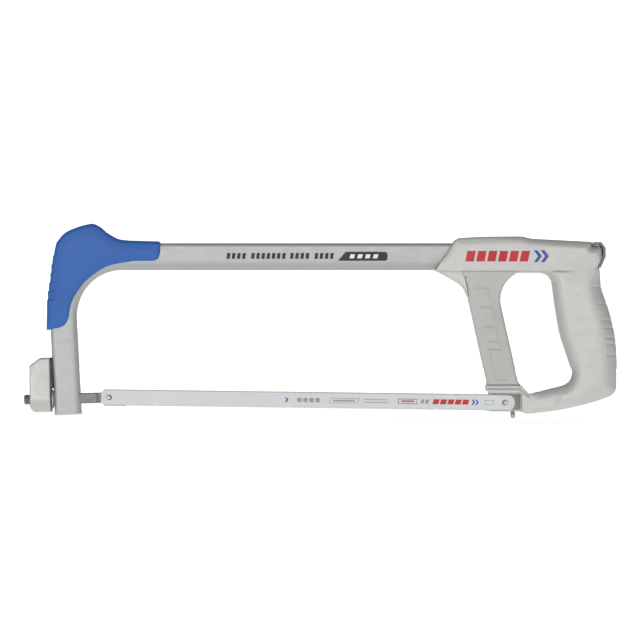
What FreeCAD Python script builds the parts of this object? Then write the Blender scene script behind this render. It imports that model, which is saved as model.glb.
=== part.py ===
"""Hacksaw with a bent tube frame, a D-shaped handle and a knob that draws the blade tight.

Millimetres. The origin is the centre of the rear blade pin, in the blade's mid-plane. +X runs along
the straight beam towards the handle, +Z is up, and the saw is the same on both sides of Y = 0, apart
from the blade's seats, which are cut away on the -Y side.
"""
import FreeCAD, Part
import math
import os

import Sketcher
from FreeCAD import Placement, Rotation, Vector

DIMENSIONS = {
    # the blade: 300 mm between its pin holes
    "blade_span": 300.0,
    "blade_depth": 12.6,
    "blade_thickness": 0.6,
    "blade_hole_dia": 4.2,
    "blade_front_end": 6.2,
    "blade_rear_end": 7.7,
    "blade_corner": 2.4,
    "blade_tilt": 0.75,
    # the pins that carry it
    "pin_dia": 3.0,
    "flush_pin_dia": 3.4,
    "pin_play": 0.58,
    "pin_reach": 2.2,
    "seat_gap": 0.02,
    # the frame tube
    "beam_width": 13.0,
    "beam_depth": 20.4,
    "beam_wall": 1.6,
    "beam_top_radius": 3.0,
    "beam_inner_radius": 5.5,
    "beam_height": 110.7,
    "beam_rear": 64.0,
    "bend_radius": 44.2,
    "arm_tilt": 2.8,
    "arm_x": -331.5,
    "arm_foot": -7.7,
    "plug_flange": 1.5,
    "flange_lip": 0.3,
    "plug_length": 6.0,
    # the draw bolt, on its own slightly rising axis through the front pin
    "screw_tilt": 1.5,
    "square_side": 8.0,
    "square_start": -34.0,
    "square_end": 5.5,
    "half_lap_start": -8.9,
    "stud_dia": 7.8,
    "stud_end": -64.0,
    "guide_fit": 0.1,
    "guide_height": 13.0,
    # the tension knob
    "knob_inner": -43.3,
    "knob_outer": -59.2,
    "knob_hub_radius": 10.2,
    "knob_lobe_corner": 2.5,
    "knob_lobe_taper": 7.4,
    "knob_reach": 31.9,
    "insert_dia": 13.0,
    "thread_fit": 0.05,
    "liner_thickness": 0.4,
    "liner_bore": 15.2,
    "washer_dia": 14.0,
    "washer_bore": 9.0,
    # the handle
    "housing_width": 24.0,
    "web_width": 20.0,
    "grip_width": 28.0,
    "core_width": 15.0,
    "sleeve_width": 20.6,
    "front_grip_width": 19.0,
    "anchor_depth": 8.5,
    "anchor_fit": 0.05,
    # the spare-blade door
    "door_width": 20.0,
    "door_thickness": 1.8,
    "hinge_x": 67.3,
    "hinge_z": 120.1,
    "knuckle_radius": 1.6,
    "lug_half_width": 3.9,
    "hinge_pin_dia": 1.5,
    "hinge_fit": 0.05,
}

doc = FreeCAD.newDocument("hacksaw")
dims = doc.addObject("Spreadsheet::Sheet", "dims")
for row, (alias, number) in enumerate(DIMENSIONS.items(), 1):
    dims.set(f"A{row}", alias)
    dims.set(f"B{row}", str(number))
    dims.setAlias(f"B{row}", alias)
doc.recompute()

SIDE = Rotation(Vector(1, 0, 0), 90)  # a sketch seen from the side: its x is +X and its y is +Z
END = Rotation(Vector(1, 1, 1), 120)  # a sketch seen from the end: its x is +Y and its y is +Z


def size(alias):
    """Read one driving dimension from the sheet."""
    return float(dims.get(alias))


def tilted(x, z, degrees):
    """Placement at (x, z) whose own x axis rises by the angle towards the handle."""
    return Placement(Vector(x, 0, z), Rotation(Vector(0, 1, 0), -degrees))


# ---------------------------------------------------------------- places that several pieces share

def front_pin_place():
    """Centre of the front blade pin, with x along the draw bolt."""
    reach = size("blade_span") + 2 * size("pin_play")
    slope = math.radians(size("blade_tilt"))
    return tilted(-reach * math.cos(slope), reach * math.sin(slope), size("screw_tilt"))


def blade_place():
    """Centre of the rear pin, with x along the blade."""
    return tilted(0, 0, -size("blade_tilt"))


def arm_place():
    """Middle of the front arm's foot, with z up the arm."""
    return tilted(size("arm_x"), size("arm_foot"), size("arm_tilt"))


# ---------------------------------------------------------------- sketches and solids

def outline(start, *steps):
    """Closed loop: each step is ("line", p), ("arc", through, p) or ("curve", p, p, ...)."""
    edges = []
    here = Vector(*start, 0)
    for kind, *points in steps:
        ends = [Vector(*point, 0) for point in points]
        if kind == "line":
            edge = Part.LineSegment(here, ends[0])
        elif kind == "arc":
            edge = Part.Arc(here, ends[0], ends[1])
        else:
            edge = Part.BSplineCurve()
            edge.interpolate([here] + ends)
        edges.append(edge)
        here = ends[-1]
    if here != Vector(*start, 0):
        edges.append(Part.LineSegment(here, Vector(*start, 0)))
    return edges


def sketch(name, rotation, *loops, place=Vector()):
    """Sketch of one or more closed loops, turned to face the side or the end of the saw."""
    made = doc.addObject("Sketcher::SketchObject", name)
    made.Placement = Placement(place, rotation)
    for loop in loops:
        for edge in loop:
            made.addGeometry(edge, False)
    return made


def slab(name, width, *loops):
    """Side outline extruded to a width, half on each side of the mid-plane."""
    made = doc.addObject("Part::Extrusion", name)
    made.Base = sketch(name + "_outline", SIDE, *loops)
    made.DirMode = "Normal"
    made.Solid = True
    made.Symmetric = True
    made.setExpression("LengthFwd", width)
    return made


def round_rims(name, base, radius, above=-1000.0, below=1000.0):
    """Round the edges of a slab's side faces whose lowest point is between two heights."""
    doc.recompute()
    half = base.Shape.BoundBox.YMax
    rims = []
    for index, edge in enumerate(base.Shape.Edges, 1):
        sides = [vertex.Y for vertex in edge.Vertexes]
        in_face = min(sides) > half - 0.01 or max(sides) < 0.01 - half
        if in_face and above < edge.BoundBox.ZMin < below:
            rims.append((index, radius, radius))
    made = doc.addObject("Part::Fillet", name)
    made.Base = base
    made.Edges = rims
    return made


def box(name, low, high, place=None):
    """Block between two corners, in its own frame, then placed."""
    made = doc.addObject("Part::Box", name)
    made.Length, made.Width, made.Height = (b - a for a, b in zip(low, high))
    made.Placement = (place or Placement()).multiply(Placement(Vector(*low), Rotation()))
    return made


def rod(name, dia, start, direction, length, place=None):
    """Cylinder from a start point along a direction; its diameter and length are expressions."""
    made = doc.addObject("Part::Cylinder", name)
    made.setExpression("Radius", f"({dia}) / 2")
    made.setExpression("Height", str(length))
    turn = Rotation(Vector(0, 0, 1), Vector(*direction))
    made.Placement = (place or Placement()).multiply(Placement(Vector(*start), turn))
    return made


def chamfered_ends(name, base, amount):
    """Break the circular edges at both ends of a rod."""
    doc.recompute()
    made = doc.addObject("Part::Chamfer", name)
    made.Base = base
    rims = [i for i, edge in enumerate(base.Shape.Edges, 1) if edge.Closed]
    made.Edges = [(index, amount, amount) for index in rims]
    return made


def cut(name, base, *tools):
    """Take one or more solids away from a base."""
    tool = tools[0]
    if len(tools) > 1:
        tool = fuse(name + "_tools", *tools)
    made = doc.addObject("Part::Cut", name)
    made.Base = base
    made.Tool = tool
    return made


def fuse(name, *parts):
    """Join several solids into one."""
    made = doc.addObject("Part::MultiFuse", name)
    made.Shapes = list(parts)
    made.Refine = True
    return made


def body(name, place=None):
    """Empty PartDesign body."""
    made = doc.addObject("PartDesign::Body", name)
    if place:
        made.Placement = place
    return made


def body_sketch(owner, name, role, loops, offset=None):
    """Sketch on one of a body's own origin planes."""
    made = owner.newObject("Sketcher::SketchObject", name)
    plane = [item for item in owner.Origin.OriginFeatures if item.Role == role][0]
    made.AttachmentSupport = [(plane, "")]
    made.MapMode = "FlatFace"
    if offset:
        made.AttachmentOffset = Placement(offset, Rotation())
    for loop in loops:
        for edge in loop:
            made.addGeometry(edge, False)
    return made


def round_hole_sketch(owner, name, role, dia, offset):
    """Sketch of one circle whose diameter is an expression."""
    made = body_sketch(owner, name, role, [], offset)
    made.addGeometry(Part.Circle(Vector(), Vector(0, 0, 1), 1.0), False)
    made.addConstraint(Sketcher.Constraint("Coincident", 0, 3, -1, 1))
    made.addConstraint(Sketcher.Constraint("Diameter", 0, 2.0))
    made.renameConstraint(1, "dia")
    made.setExpression("Constraints.dia", dia)
    return made


def block_sketch(owner, name, role, width, height, offset):
    """Sketch of a rectangle centred on its origin, whose sides are expressions."""
    corners = [Vector(-1, -1, 0), Vector(1, -1, 0), Vector(1, 1, 0), Vector(-1, 1, 0)]
    made = body_sketch(owner, name, role, [], offset)
    for start, end in zip(corners, corners[1:] + corners[:1]):
        made.addGeometry(Part.LineSegment(start, end), False)
    for index in range(4):
        made.addConstraint(Sketcher.Constraint("Coincident", index, 2, (index + 1) % 4, 1))
        made.addConstraint(Sketcher.Constraint(("Horizontal", "Vertical")[index % 2], index))
    made.addConstraint(Sketcher.Constraint("Symmetric", 0, 1, 2, 1, -1, 1))
    made.addConstraint(Sketcher.Constraint("DistanceX", 0, 1, 0, 2, 2.0))
    made.renameConstraint(9, "width")
    made.addConstraint(Sketcher.Constraint("DistanceY", 1, 1, 1, 2, 2.0))
    made.renameConstraint(10, "height")
    made.setExpression("Constraints.width", width)
    made.setExpression("Constraints.height", height)
    return made


def pad(owner, name, profile, length, reverse=False, symmetric=False):
    """Pad a sketch by an expression."""
    made = owner.newObject("PartDesign::Pad", name)
    made.Profile = profile
    made.Reversed = reverse
    made.SideType = "Symmetric" if symmetric else "One side"
    made.setExpression("Length", length)
    return made


def pocket(owner, name, profile, length, reverse=False, symmetric=False):
    """Cut a sketch into a body by an expression, and check that it takes something away."""
    doc.recompute()
    before = owner.Shape.Volume
    made = owner.newObject("PartDesign::Pocket", name)
    made.Profile = profile
    made.Reversed = reverse
    made.SideType = "Symmetric" if symmetric else "One side"
    made.setExpression("Length", length)
    doc.recompute()
    if owner.Shape.Volume > before - 0.01:
        raise RuntimeError(f"{name} cuts nothing")
    return made


# ---------------------------------------------------------------- the frame tube and what it holds

def tube_section(shrink):
    """The tube's section about its centre: nearly square outside, half round inside the bow."""
    half_y = size("beam_width") / 2 - shrink
    half_z = size("beam_depth") / 2 - shrink
    top = size("beam_top_radius") - shrink
    low = size("beam_inner_radius") - shrink
    bow = 1 - math.sqrt(0.5)
    return outline(
        (half_y - top, half_z),
        ("line", (top - half_y, half_z)),
        ("arc", (bow * top - half_y, half_z - bow * top), (-half_y, half_z - top)),
        ("line", (-half_y, low - half_z)),
        ("arc", (bow * low - half_y, bow * low - half_z), (low - half_y, -half_z)),
        ("line", (half_y - low, -half_z)),
        ("arc", (half_y - bow * low, bow * low - half_z), (half_y, low - half_z)),
        ("line", (half_y, half_z - top)),
        ("arc", (half_y - bow * top, half_z - bow * top), (half_y - top, half_z)),
    )


def tube_line(sketch_owner, name):
    """The tube's centre line: straight beam, bend, and the arm that leans towards the handle."""
    lean = math.radians(size("arm_tilt"))
    radius = size("bend_radius")
    centre_z = size("beam_height") - radius
    rise = centre_z - size("arm_foot")
    centre_x = size("arm_x") + (radius - rise * math.sin(lean)) / math.cos(lean)
    middle = math.radians(135) + lean / 2
    half_way = (centre_x + radius * math.cos(middle), centre_z + radius * math.sin(middle))
    bend_end = (centre_x - radius * math.cos(lean), centre_z - radius * math.sin(lean))
    line = outline(
        (size("beam_rear"), size("beam_height")),
        ("line", (centre_x, size("beam_height"))),
        ("arc", half_way, bend_end),
        ("line", (size("arm_x"), size("arm_foot"))),
    )
    return body_sketch(sketch_owner, name, "XZ_Plane", [line[:3]])


def tube_body(name, shrink):
    """The tube's section swept along its centre line, as a solid."""
    owner = body(name)
    line = tube_line(owner, name + "_line")
    start = Vector(0, size("beam_height"), size("beam_rear"))
    section = body_sketch(owner, name + "_section", "YZ_Plane", [tube_section(shrink)], start)
    doc.recompute()
    sweep = owner.newObject("PartDesign::AdditivePipe", name + "_sweep")
    sweep.Profile = section
    sweep.Spine = (line, ["Edge1", "Edge2", "Edge3"])
    return owner


def beam_tube(outside, inside):
    """One bent steel tube, with a round hole and a square hole where the draw bolt crosses its arm."""
    place = front_pin_place()
    side = size("square_side") / 2 + 4 * size("guide_fit")
    round_hole = rod("arm_round_hole", "dims.stud_dia + 1", (-48, 0, 0), (1, 0, 0), 15, place)
    square_hole = box("arm_square_hole", (-30, -side, -side), (-14, side, side), place)
    return cut("beam_tube", outside, inside, round_hole, square_hole, *beam_screw_holes("tube"))


def arm_guide_block():
    """Steel block inside the arm, whose square hole keeps the draw bolt from turning."""
    inner = sketch("guide_section", Rotation(), inner_section())
    solid = doc.addObject("Part::Extrusion", "guide_blank")
    solid.Base = inner
    solid.DirMode = "Normal"
    solid.Solid = True
    solid.setExpression("LengthFwd", "dims.guide_height")
    lift = Placement(Vector(0, 0, size("plug_length") - size("plug_flange") + 0.3), Rotation())
    solid.Placement = arm_place().multiply(lift)
    side = size("square_side") / 2 + size("guide_fit") / 2
    hole = box("guide_hole", (-50, -side, -side), (-10, side, side), front_pin_place())
    return cut("arm_guide_block", solid, hole)


def turned_section(shrink):
    """The tube's section made smaller all round, turned so that its depth is along x."""
    turned = []
    for edge in tube_section(shrink):
        edge.rotate(Placement(Vector(), Rotation(90, 0, 0)))
        turned.append(edge)
    return turned


def inner_section():
    """The section of a piece that slides into the tube."""
    return turned_section(size("beam_wall") + size("guide_fit"))


def arm_end_plug():
    """Moulded plug in the arm's foot, with a thin flange that covers the tube's cut end."""
    flange = sketch("plug_flange_section", Rotation(), turned_section(-size("flange_lip")))
    cover = doc.addObject("Part::Extrusion", "plug_cover")
    cover.Base = flange
    cover.DirMode = "Normal"
    cover.Solid = True
    cover.Reversed = True
    cover.setExpression("LengthFwd", "dims.plug_flange")
    spigot = doc.addObject("Part::Extrusion", "plug_spigot")
    spigot.Base = sketch("plug_spigot_section", Rotation(), inner_section())
    spigot.DirMode = "Normal"
    spigot.Solid = True
    spigot.setExpression("LengthFwd", "dims.plug_length - dims.plug_flange")
    doc.recompute()
    rims = [(i, 1.1, 1.1) for i, edge in enumerate(cover.Shape.Edges, 1)
            if edge.BoundBox.ZMax < 0.01 - size("plug_flange")]
    rounded = doc.addObject("Part::Fillet", "plug_cover_rounded")
    rounded.Base = cover
    rounded.Edges = rims
    plug = fuse("arm_end_plug", rounded, spigot)
    plug.Placement = arm_place()
    return plug


def front_grip(outside):
    """Soft cap moulded over the outside of the bend, stepped where the fingers rest."""
    shape = outline(
        (-347.8, 55.0),
        ("curve", (-347.6, 66.0), (-347.2, 82.0), (-345.4, 94.0)),
        ("curve", (-343.6, 108.0), (-340.2, 121.6)),
        ("curve", (-333.8, 128.7), (-324.5, 133.0), (-316.0, 135.3), (-312.0, 135.6),
         (-307.0, 133.0), (-301.7, 128.6), (-293.4, 124.1), (-285.0, 122.9)),
        ("line", (-262.6, 122.3)),
        ("line", (-261.2, 120.4)),
        ("line", (-261.2, 114.3)),
        ("curve", (-262.9, 109.0), (-267.0, 106.9)),
        ("line", (-282.0, 106.9)),
        ("curve", (-301.6, 102.9), (-317.5, 92.2), (-327.6, 77.4), (-330.8, 63.6)),
        ("curve", (-333.5, 59.0), (-338.5, 56.4), (-347.8, 55.0)),
    )
    blank = slab("front_grip_blank", "dims.front_grip_width", shape)
    return cut("front_grip", round_rims("front_grip_soft", blank, 2.5), outside)


# ---------------------------------------------------------------- the handle

POST_LEFT_TOP = (-28.6, 79.0)
POST_LEFT_LOW = (-14.6, 16.4)
POST_RIGHT_TOP = (-4.0, 74.5)
POST_RIGHT_LOW = (9.0, 16.4)
GRIP_FRONT = ((37.0, 75.0), (40.5, 54.5), (45.1, 39.4), (48.9, 28.0))
GRIP_BACK = ((84.3, 28.0), (83.3, 47.0), (80.4, 62.0), (77.0, 74.0), (72.6, 87.0), (70.9, 100.5))


def post_left(z):
    """Point on the post's straight left edge at a height."""
    share = (POST_LEFT_TOP[1] - z) / (POST_LEFT_TOP[1] - POST_LEFT_LOW[1])
    return POST_LEFT_TOP[0] + share * (POST_LEFT_LOW[0] - POST_LEFT_TOP[0]), z


def finger_opening():
    """The hole that the fingers go through, between the post and the rear grip."""
    return outline(
        (9.5, 98.5),
        ("line", (25.0, 98.5)),
        ("arc", (32.3, 95.6), (35.0, 89.5)),
        ("curve", *GRIP_FRONT),
        ("arc", (49.3, 18.5), (42.8, 13.0)),
        ("line", (17.6, 6.6)),
        ("line", POST_RIGHT_LOW),
        ("line", POST_RIGHT_TOP),
        ("arc", (-2.0, 87.8), (9.5, 98.5)),
    )


def web_outline():
    """Post, blade block, lower bar and rear grip as one plate, up to the middle of the housing."""
    return outline(
        (-52.0, 99.4),
        ("curve", (-44.0, 95.2), (-33.5, 88.4), POST_LEFT_TOP),
        ("line", POST_LEFT_LOW),
        ("line", (-15.2, 12.9)),
        ("line", (-15.2, 9.1)),
        ("line", (-13.2, 8.4)),
        ("line", (-13.2, -4.9)),
        ("line", (-11.4, -6.7)),
        ("line", (11.1, -6.7)),
        ("line", (14.8, -8.0)),
        ("line", (20.0, -8.0)),
        ("curve", (42.8, -5.0), (65.6, 0.2), (77.5, 4.2)),
        ("arc", (82.3, 7.6), (84.0, 13.4)),
        ("curve", *GRIP_BACK),
        ("line", (60.0, 105.0)),
        ("line", (-45.0, 105.0)),
    )



def grip_outline():
    """The thick rear grip alone."""
    return outline(
        (33.5, 106.0),
        ("line", (35.0, 89.5)),
        ("curve", *GRIP_FRONT),
        ("arc", (49.3, 18.5), (42.8, 13.0)),
        ("line", (42.8, -5.0)),
        ("curve", (65.6, 0.2), (77.5, 4.2)),
        ("arc", (82.3, 7.6), (84.0, 13.4)),
        ("curve", *GRIP_BACK),
        ("line", (62.0, 106.0)),
    )


def housing_outline():
    """The long housing over the tube, with a notch at its rear corner for the door."""
    return outline(
        (-53.7, 100.3),
        ("line", (-39.9, 121.6)),
        ("arc", (-37.8, 123.7), (-34.4, 124.8)),
        ("curve", (-16.0, 125.7), (11.1, 126.0)),
        ("line", (20.1, 124.2)),
        ("line", (65.2, 121.9)),
        ("line", (65.2, 118.2)),
        ("line", (69.3, 118.2)),
        ("line", (69.3, 119.3)),
        ("line", (70.7, 119.3)),
        ("line", (73.1, 116.4)),
        ("line", (73.2, 111.0)),
        ("line", (69.5, 102.7)),
        ("line", (70.6, 102.1)),
        ("line", (68.5, 99.5)),
        ("line", (-53.2, 99.5)),
    )


def sleeve_outline():
    """The soft sleeve on the post, seen from the side."""
    return outline(
        (-33.4, 98.5),
        ("line", (-31.2, 94.6)),
        ("line", (-27.0, 82.0)),
        ("line", post_left(75.5)),
        ("line", POST_LEFT_LOW),
        ("line", (-14.6, 13.2)),
        ("line", (11.4, 13.2)),
        ("line", POST_RIGHT_LOW),
        ("line", POST_RIGHT_TOP),
        ("arc", (-2.0, 87.8), (9.5, 98.5)),
    )


def core_outline():
    """The cast post under the sleeve."""
    return outline(
        (-28.5, 103.0),
        ("line", (-26.4, 79.0)),
        ("line", (-12.4, 16.4)),
        ("line", (-12.4, 10.0)),
        ("line", (8.4, 10.0)),
        ("line", (6.8, 16.4)),
        ("line", (-6.2, 74.5)),
        ("arc", (-4.4, 88.6), (4.0, 98.0)),
        ("line", (5.0, 103.0)),
    )


def post_sleeve():
    """Soft sleeve moulded round the cast post."""
    blank = slab("sleeve_blank", "dims.sleeve_width", sleeve_outline())
    soft = round_rims("sleeve_soft", blank, 1.5, below=98.0)
    core = slab("sleeve_core", "dims.core_width", core_outline())
    return cut("post_sleeve", soft, core)


def blade_seat():
    """Space cut away on the -Y side of the blade block, down to the blade's back."""
    back = size("blade_thickness") / 2 + size("seat_gap")
    return box("blade_seat", (-20.0, -20.0, -9.0), (11.8, back, 7.4))


def anchor_space(name, clearance):
    """Rectangular space of the rear anchor block, in the blade's own frame."""
    back = size("blade_thickness") / 2 + size("seat_gap")
    low = (-9.6 - clearance, back, -5.0 - clearance)
    high = (10.6 + clearance, size("anchor_depth") + clearance, 5.9 + clearance)
    return box(name, low, high, blade_place())


FLUSH_PIN_LINE = ((5.5, 6.6, -2.6), (0, -1, -1))
FLUSH_PIN_LENGTH = 12.2
ANCHOR_SCREW_X = -6.0
ANCHOR_SCREW_Z = 0.6
ANCHOR_HEAD_Y = 8.6
ANCHOR_SCREW_LINE = ((ANCHOR_SCREW_X, 3.0, ANCHOR_SCREW_Z), (0, 1, 0))
ANCHOR_HEAD_LINE = ((ANCHOR_SCREW_X, ANCHOR_HEAD_Y, ANCHOR_SCREW_Z), (0, 1, 0))
LUG_WEB_DEPTH = 2.3
MOUTH_BOTTOM = 103.6
MOUTH_TOP = 117.0


def handle_casting(outside, sleeve):
    """One die-cast handle: housing, post, blade block, lower bar and rear grip."""
    web = round_rims("web_soft", slab("web", "dims.web_width", web_outline(), finger_opening()), 2.5)
    grip = round_rims("grip_soft", slab("grip", "dims.grip_width", grip_outline()), 8.0)
    housing_slab = slab("housing", "dims.housing_width", housing_outline())
    housing = round_rims("housing_soft", housing_slab, 2.5, above=121.0)
    sleeve_space = slab("sleeve_space", "dims.sleeve_width + 4", sleeve_outline())
    core = slab("post_core", "dims.core_width", core_outline())
    lug = rod("door_lug", "2 * dims.knuckle_radius", *lug_line(), "2 * dims.lug_half_width")
    hinge_x, hinge_z = size("hinge_x"), size("hinge_z")
    knuckle, lug_half = size("knuckle_radius"), size("lug_half_width")
    lug_low = (hinge_x - knuckle, -lug_half, hinge_z - LUG_WEB_DEPTH)
    lug_web = box("door_lug_web", lug_low, (hinge_x + knuckle, lug_half, hinge_z))
    mouth_half = size("beam_width") / 2 - size("beam_wall")
    mouth = box("store_mouth", (60.0, -mouth_half, MOUTH_BOTTOM), (80.0, mouth_half, MOUTH_TOP))
    post_web = fuse("web_with_core", cut("web_without_sleeve", web, sleeve_space), core)
    lower = fuse("handle_lower", post_web, grip)
    solid = fuse("handle_solid", lower, fuse("housing_with_lug", housing, lug_web, lug))
    holes = [
        rod("anchor_screw_hole", 4, *ANCHOR_SCREW_LINE, 10),
        rod("anchor_head_hole", 8, *ANCHOR_HEAD_LINE, 4),
        rod("flush_pin_hole", "dims.flush_pin_dia", *FLUSH_PIN_LINE, FLUSH_PIN_LENGTH + 2),
        rod("hinge_pin_hole", "dims.hinge_pin_dia", (hinge_x, -12, hinge_z), (0, 1, 0), 24),
    ]
    tools = [outside, mouth, blade_seat(), anchor_space("anchor_pocket", size("anchor_fit"))]
    return cut("handle_casting", solid, *tools, *beam_screw_holes("handle"), *holes)


BEAM_SCREW_X = (-44, 17)


def beam_screw_holes(name):
    """The holes that the two set screws take, up to the inside of the tube."""
    return [rod(f"{name}_screw_hole_{x}", 6, (x, 0, 90), (0, 0, 1), 13) for x in BEAM_SCREW_X]


def beam_set_screws():
    """Two set screws, up through the handle into the tube's lower wall."""
    screws = []
    for x in BEAM_SCREW_X:
        shank = rod(f"set_screw_shank_{x}", 6, (x, 0, 98.9), (0, 0, 1), 3.9)
        socket = rod(f"set_screw_socket_{x}", 3, (x, 0, 98.0), (0, 0, 1), 2.6)
        screws.append(cut(f"set_screw_{x}", shank, socket))
    made = doc.addObject("Part::Compound", "beam_set_screws")
    made.Links = screws
    return made


def lug_line():
    """Start and direction of the door's middle lug."""
    return (size("hinge_x"), -size("lug_half_width"), size("hinge_z")), (0, 1, 0)


def storage_door():
    """Flap over the tube's rear mouth, where spare blades are kept, with its two hinge knuckles."""
    flap = slab("door_flap", "dims.door_width", outline(
        (66.6, 121.7),
        ("line", (71.9, 121.7)),
        ("line", (75.2, 117.4)),
        ("line", (75.3, 110.6)),
        ("line", (71.6, 102.3)),
        ("line", (69.9, 103.1)),
        ("line", (73.5, 111.0)),
        ("line", (73.4, 116.8)),
        ("line", (71.0, 119.9)),
        ("line", (66.6, 119.9)),
    ))
    start = (size("hinge_x"), -size("door_width") / 2 + 0.5, size("hinge_z"))
    barrel = rod("door_barrel", "2 * dims.knuckle_radius", start, (0, 1, 0), "dims.door_width - 1")
    half = size("lug_half_width") + 0.2
    gap = box("door_lug_space", (64.0, -half, 116.0), (69.5, half, 124.0))
    bore_dia = "dims.hinge_pin_dia + 2 * dims.hinge_fit"
    bore = rod("door_bore", bore_dia, start, (0, 1, 0), "dims.door_width - 1")
    return cut("storage_door", fuse("door_solid", flap, barrel), gap, bore)


def door_hinge_pin():
    """Pin pressed in the handle's lug, with a door knuckle on each end."""
    start = (size("hinge_x"), 0.6 - size("door_width") / 2, size("hinge_z"))
    return rod("door_hinge_pin", "dims.hinge_pin_dia", start, (0, 1, 0), "dims.door_width - 1.2")


# ---------------------------------------------------------------- blade, pins and anchor

def saw_blade():
    """Flexible blade: chamfered front corners, rounded rear end and a pin hole at each end."""
    half = size("blade_depth") / 2
    rear = size("blade_rear_end") - size("pin_play")
    front = -size("blade_span") - size("pin_play") - size("blade_front_end")
    corner = size("blade_corner")
    owner = body("saw_blade", blade_place())
    strip = body_sketch(owner, "blade_outline", "XZ_Plane", [outline(
        (front, half - corner),
        ("line", (front + corner, half)),
        ("line", (rear - half, half)),
        ("arc", (rear, 0.0), (rear - half, -half)),
        ("line", (front + corner, -half)),
        ("line", (front, corner - half)),
    )])
    pad(owner, "blade_strip", strip, "dims.blade_thickness", symmetric=True)
    for name, x in (("rear", 0.0), ("front", -size("blade_span"))):
        place = Vector(x - size("pin_play"), 0, 0)
        hole = round_hole_sketch(owner, f"{name}_hole_sketch", "XZ_Plane", "dims.blade_hole_dia", place)
        pocket(owner, f"{name}_hole", hole, "2 * dims.blade_thickness", symmetric=True)
    return owner


def rear_anchor_block():
    """Steel block let into the handle; the pins and a screw are fixed in it."""
    return cut(
        "rear_anchor_block",
        anchor_space("anchor_blank", 0.0),
        rod("anchor_pin_hole", "dims.pin_dia", (0, -5, 0), (0, 1, 0), 10.2, blade_place()),
        rod("anchor_flush_hole", "dims.flush_pin_dia", *FLUSH_PIN_LINE, FLUSH_PIN_LENGTH + 2),
        rod("anchor_screw_thread", 4, *ANCHOR_SCREW_LINE, 10),
    )


def anchor_screw():
    """Countersunk screw that pulls the anchor block into the handle."""
    shank = rod("anchor_screw_shank", 4, *ANCHOR_SCREW_LINE, 6)
    head = doc.addObject("Part::Cone", "anchor_screw_head")
    head.Radius1 = 2.0
    head.Radius2 = 3.7
    head.Height = 1.3
    start, along = ANCHOR_HEAD_LINE
    head.Placement = Placement(Vector(*start), Rotation(Vector(0, 0, 1), Vector(*along)))
    socket_start = (ANCHOR_SCREW_X, ANCHOR_HEAD_Y - 0.3, ANCHOR_SCREW_Z)
    socket = rod("anchor_screw_socket", 2.5, socket_start, along, 2)
    return cut("anchor_screw", fuse("anchor_screw_solid", shank, head), socket)


def blade_pin(name, place, depth):
    """Short pin that stands out on the -Y side and carries one end of the blade."""
    start = (0, -size("pin_reach"), 0)
    pin = rod(name + "_rod", "dims.pin_dia", start, (0, 1, 0), size("pin_reach") + depth, place)
    return chamfered_ends(name, pin, 0.3)


def rear_flush_pin():
    """Second pin, sloping down at 45 degrees, that holds the blade turned for flush cutting."""
    pin = rod("flush_pin_rod", "dims.flush_pin_dia", *FLUSH_PIN_LINE, FLUSH_PIN_LENGTH)
    return chamfered_ends("rear_flush_pin", pin, 0.9)


# ---------------------------------------------------------------- draw bolt and knob

def draw_bolt():
    """Square bar, half lapped for the blade at one end and threaded for the knob at the other."""
    owner = body("draw_bolt", front_pin_place())
    side = "dims.square_side"
    square = block_sketch(owner, "square_section", "YZ_Plane", side, side,
                          Vector(0, 0, size("square_start")))
    pad(owner, "square_bar", square, "dims.square_end - dims.square_start")
    stud = round_hole_sketch(owner, "stud_section", "YZ_Plane", "dims.stud_dia",
                             Vector(0, 0, size("stud_end")))
    pad(owner, "stud", stud, "dims.square_start - dims.stud_end + 1")
    lap_length = size("square_end") - size("half_lap_start") + 1
    middle = size("half_lap_start") + lap_length / 2
    lap = block_sketch(owner, "half_lap_section", "XZ_Plane", f"{lap_length}", "dims.square_side + 1",
                       Vector(middle, 0, -size("blade_thickness") / 2 - size("seat_gap")))
    pocket(owner, "half_lap", lap, "dims.square_side", reverse=True)
    hole = round_hole_sketch(owner, "bolt_pin_section", "XZ_Plane", "dims.pin_dia", Vector())
    pocket(owner, "bolt_pin_hole", hole, "3 * dims.square_side", symmetric=True)
    doc.recompute()
    base = owner.Tip
    chamfer = owner.newObject("PartDesign::Chamfer", "bolt_chamfers")
    chamfer.Base = (base, bolt_edges(base.Shape))
    chamfer.Size = 0.7
    return owner


def bolt_edges(shape):
    """The stud's free end, the square bar's long edges and the two corners of its tip."""
    chosen = []
    for index, edge in enumerate(shape.Edges, 1):
        bounds = edge.BoundBox
        along = bounds.XLength > 5 and bounds.YLength < 0.01 and bounds.ZLength < 0.01
        free_end = edge.Closed and bounds.XMax < size("stud_end") + 0.1
        corner = abs(abs(bounds.ZMax) - size("square_side") / 2) < 0.01 and along
        if free_end or corner:
            chosen.append(f"Edge{index}")
    return chosen


def knob_profile(inset=0.0):
    """The knob seen along the bolt: a round hub with one blunt lobe to push with the thumb."""
    hub = size("knob_hub_radius") - inset
    corner = size("knob_lobe_corner") - inset
    top = size("knob_reach") - inset
    taper = math.radians(size("knob_lobe_taper"))
    side = Vector(math.cos(taper), math.sin(taper), 0)
    centre = Vector((hub - corner - (top - corner) * side.y) / side.x, top - corner, 0)
    hub_right = (hub * side.x, hub * side.y)
    shoulder = tuple(centre + side * corner)[:2]
    between = tuple(centre + (side + Vector(0, 1, 0)).normalize() * corner)[:2]
    return outline(
        hub_right,
        ("line", shoulder),
        ("arc", between, (centre.x, top)),
        ("line", (-centre.x, top)),
        ("arc", (-between[0], between[1]), (-shoulder[0], shoulder[1])),
        ("line", (-hub_right[0], hub_right[1])),
        ("arc", (0.0, -hub), hub_right),
    )


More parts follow.
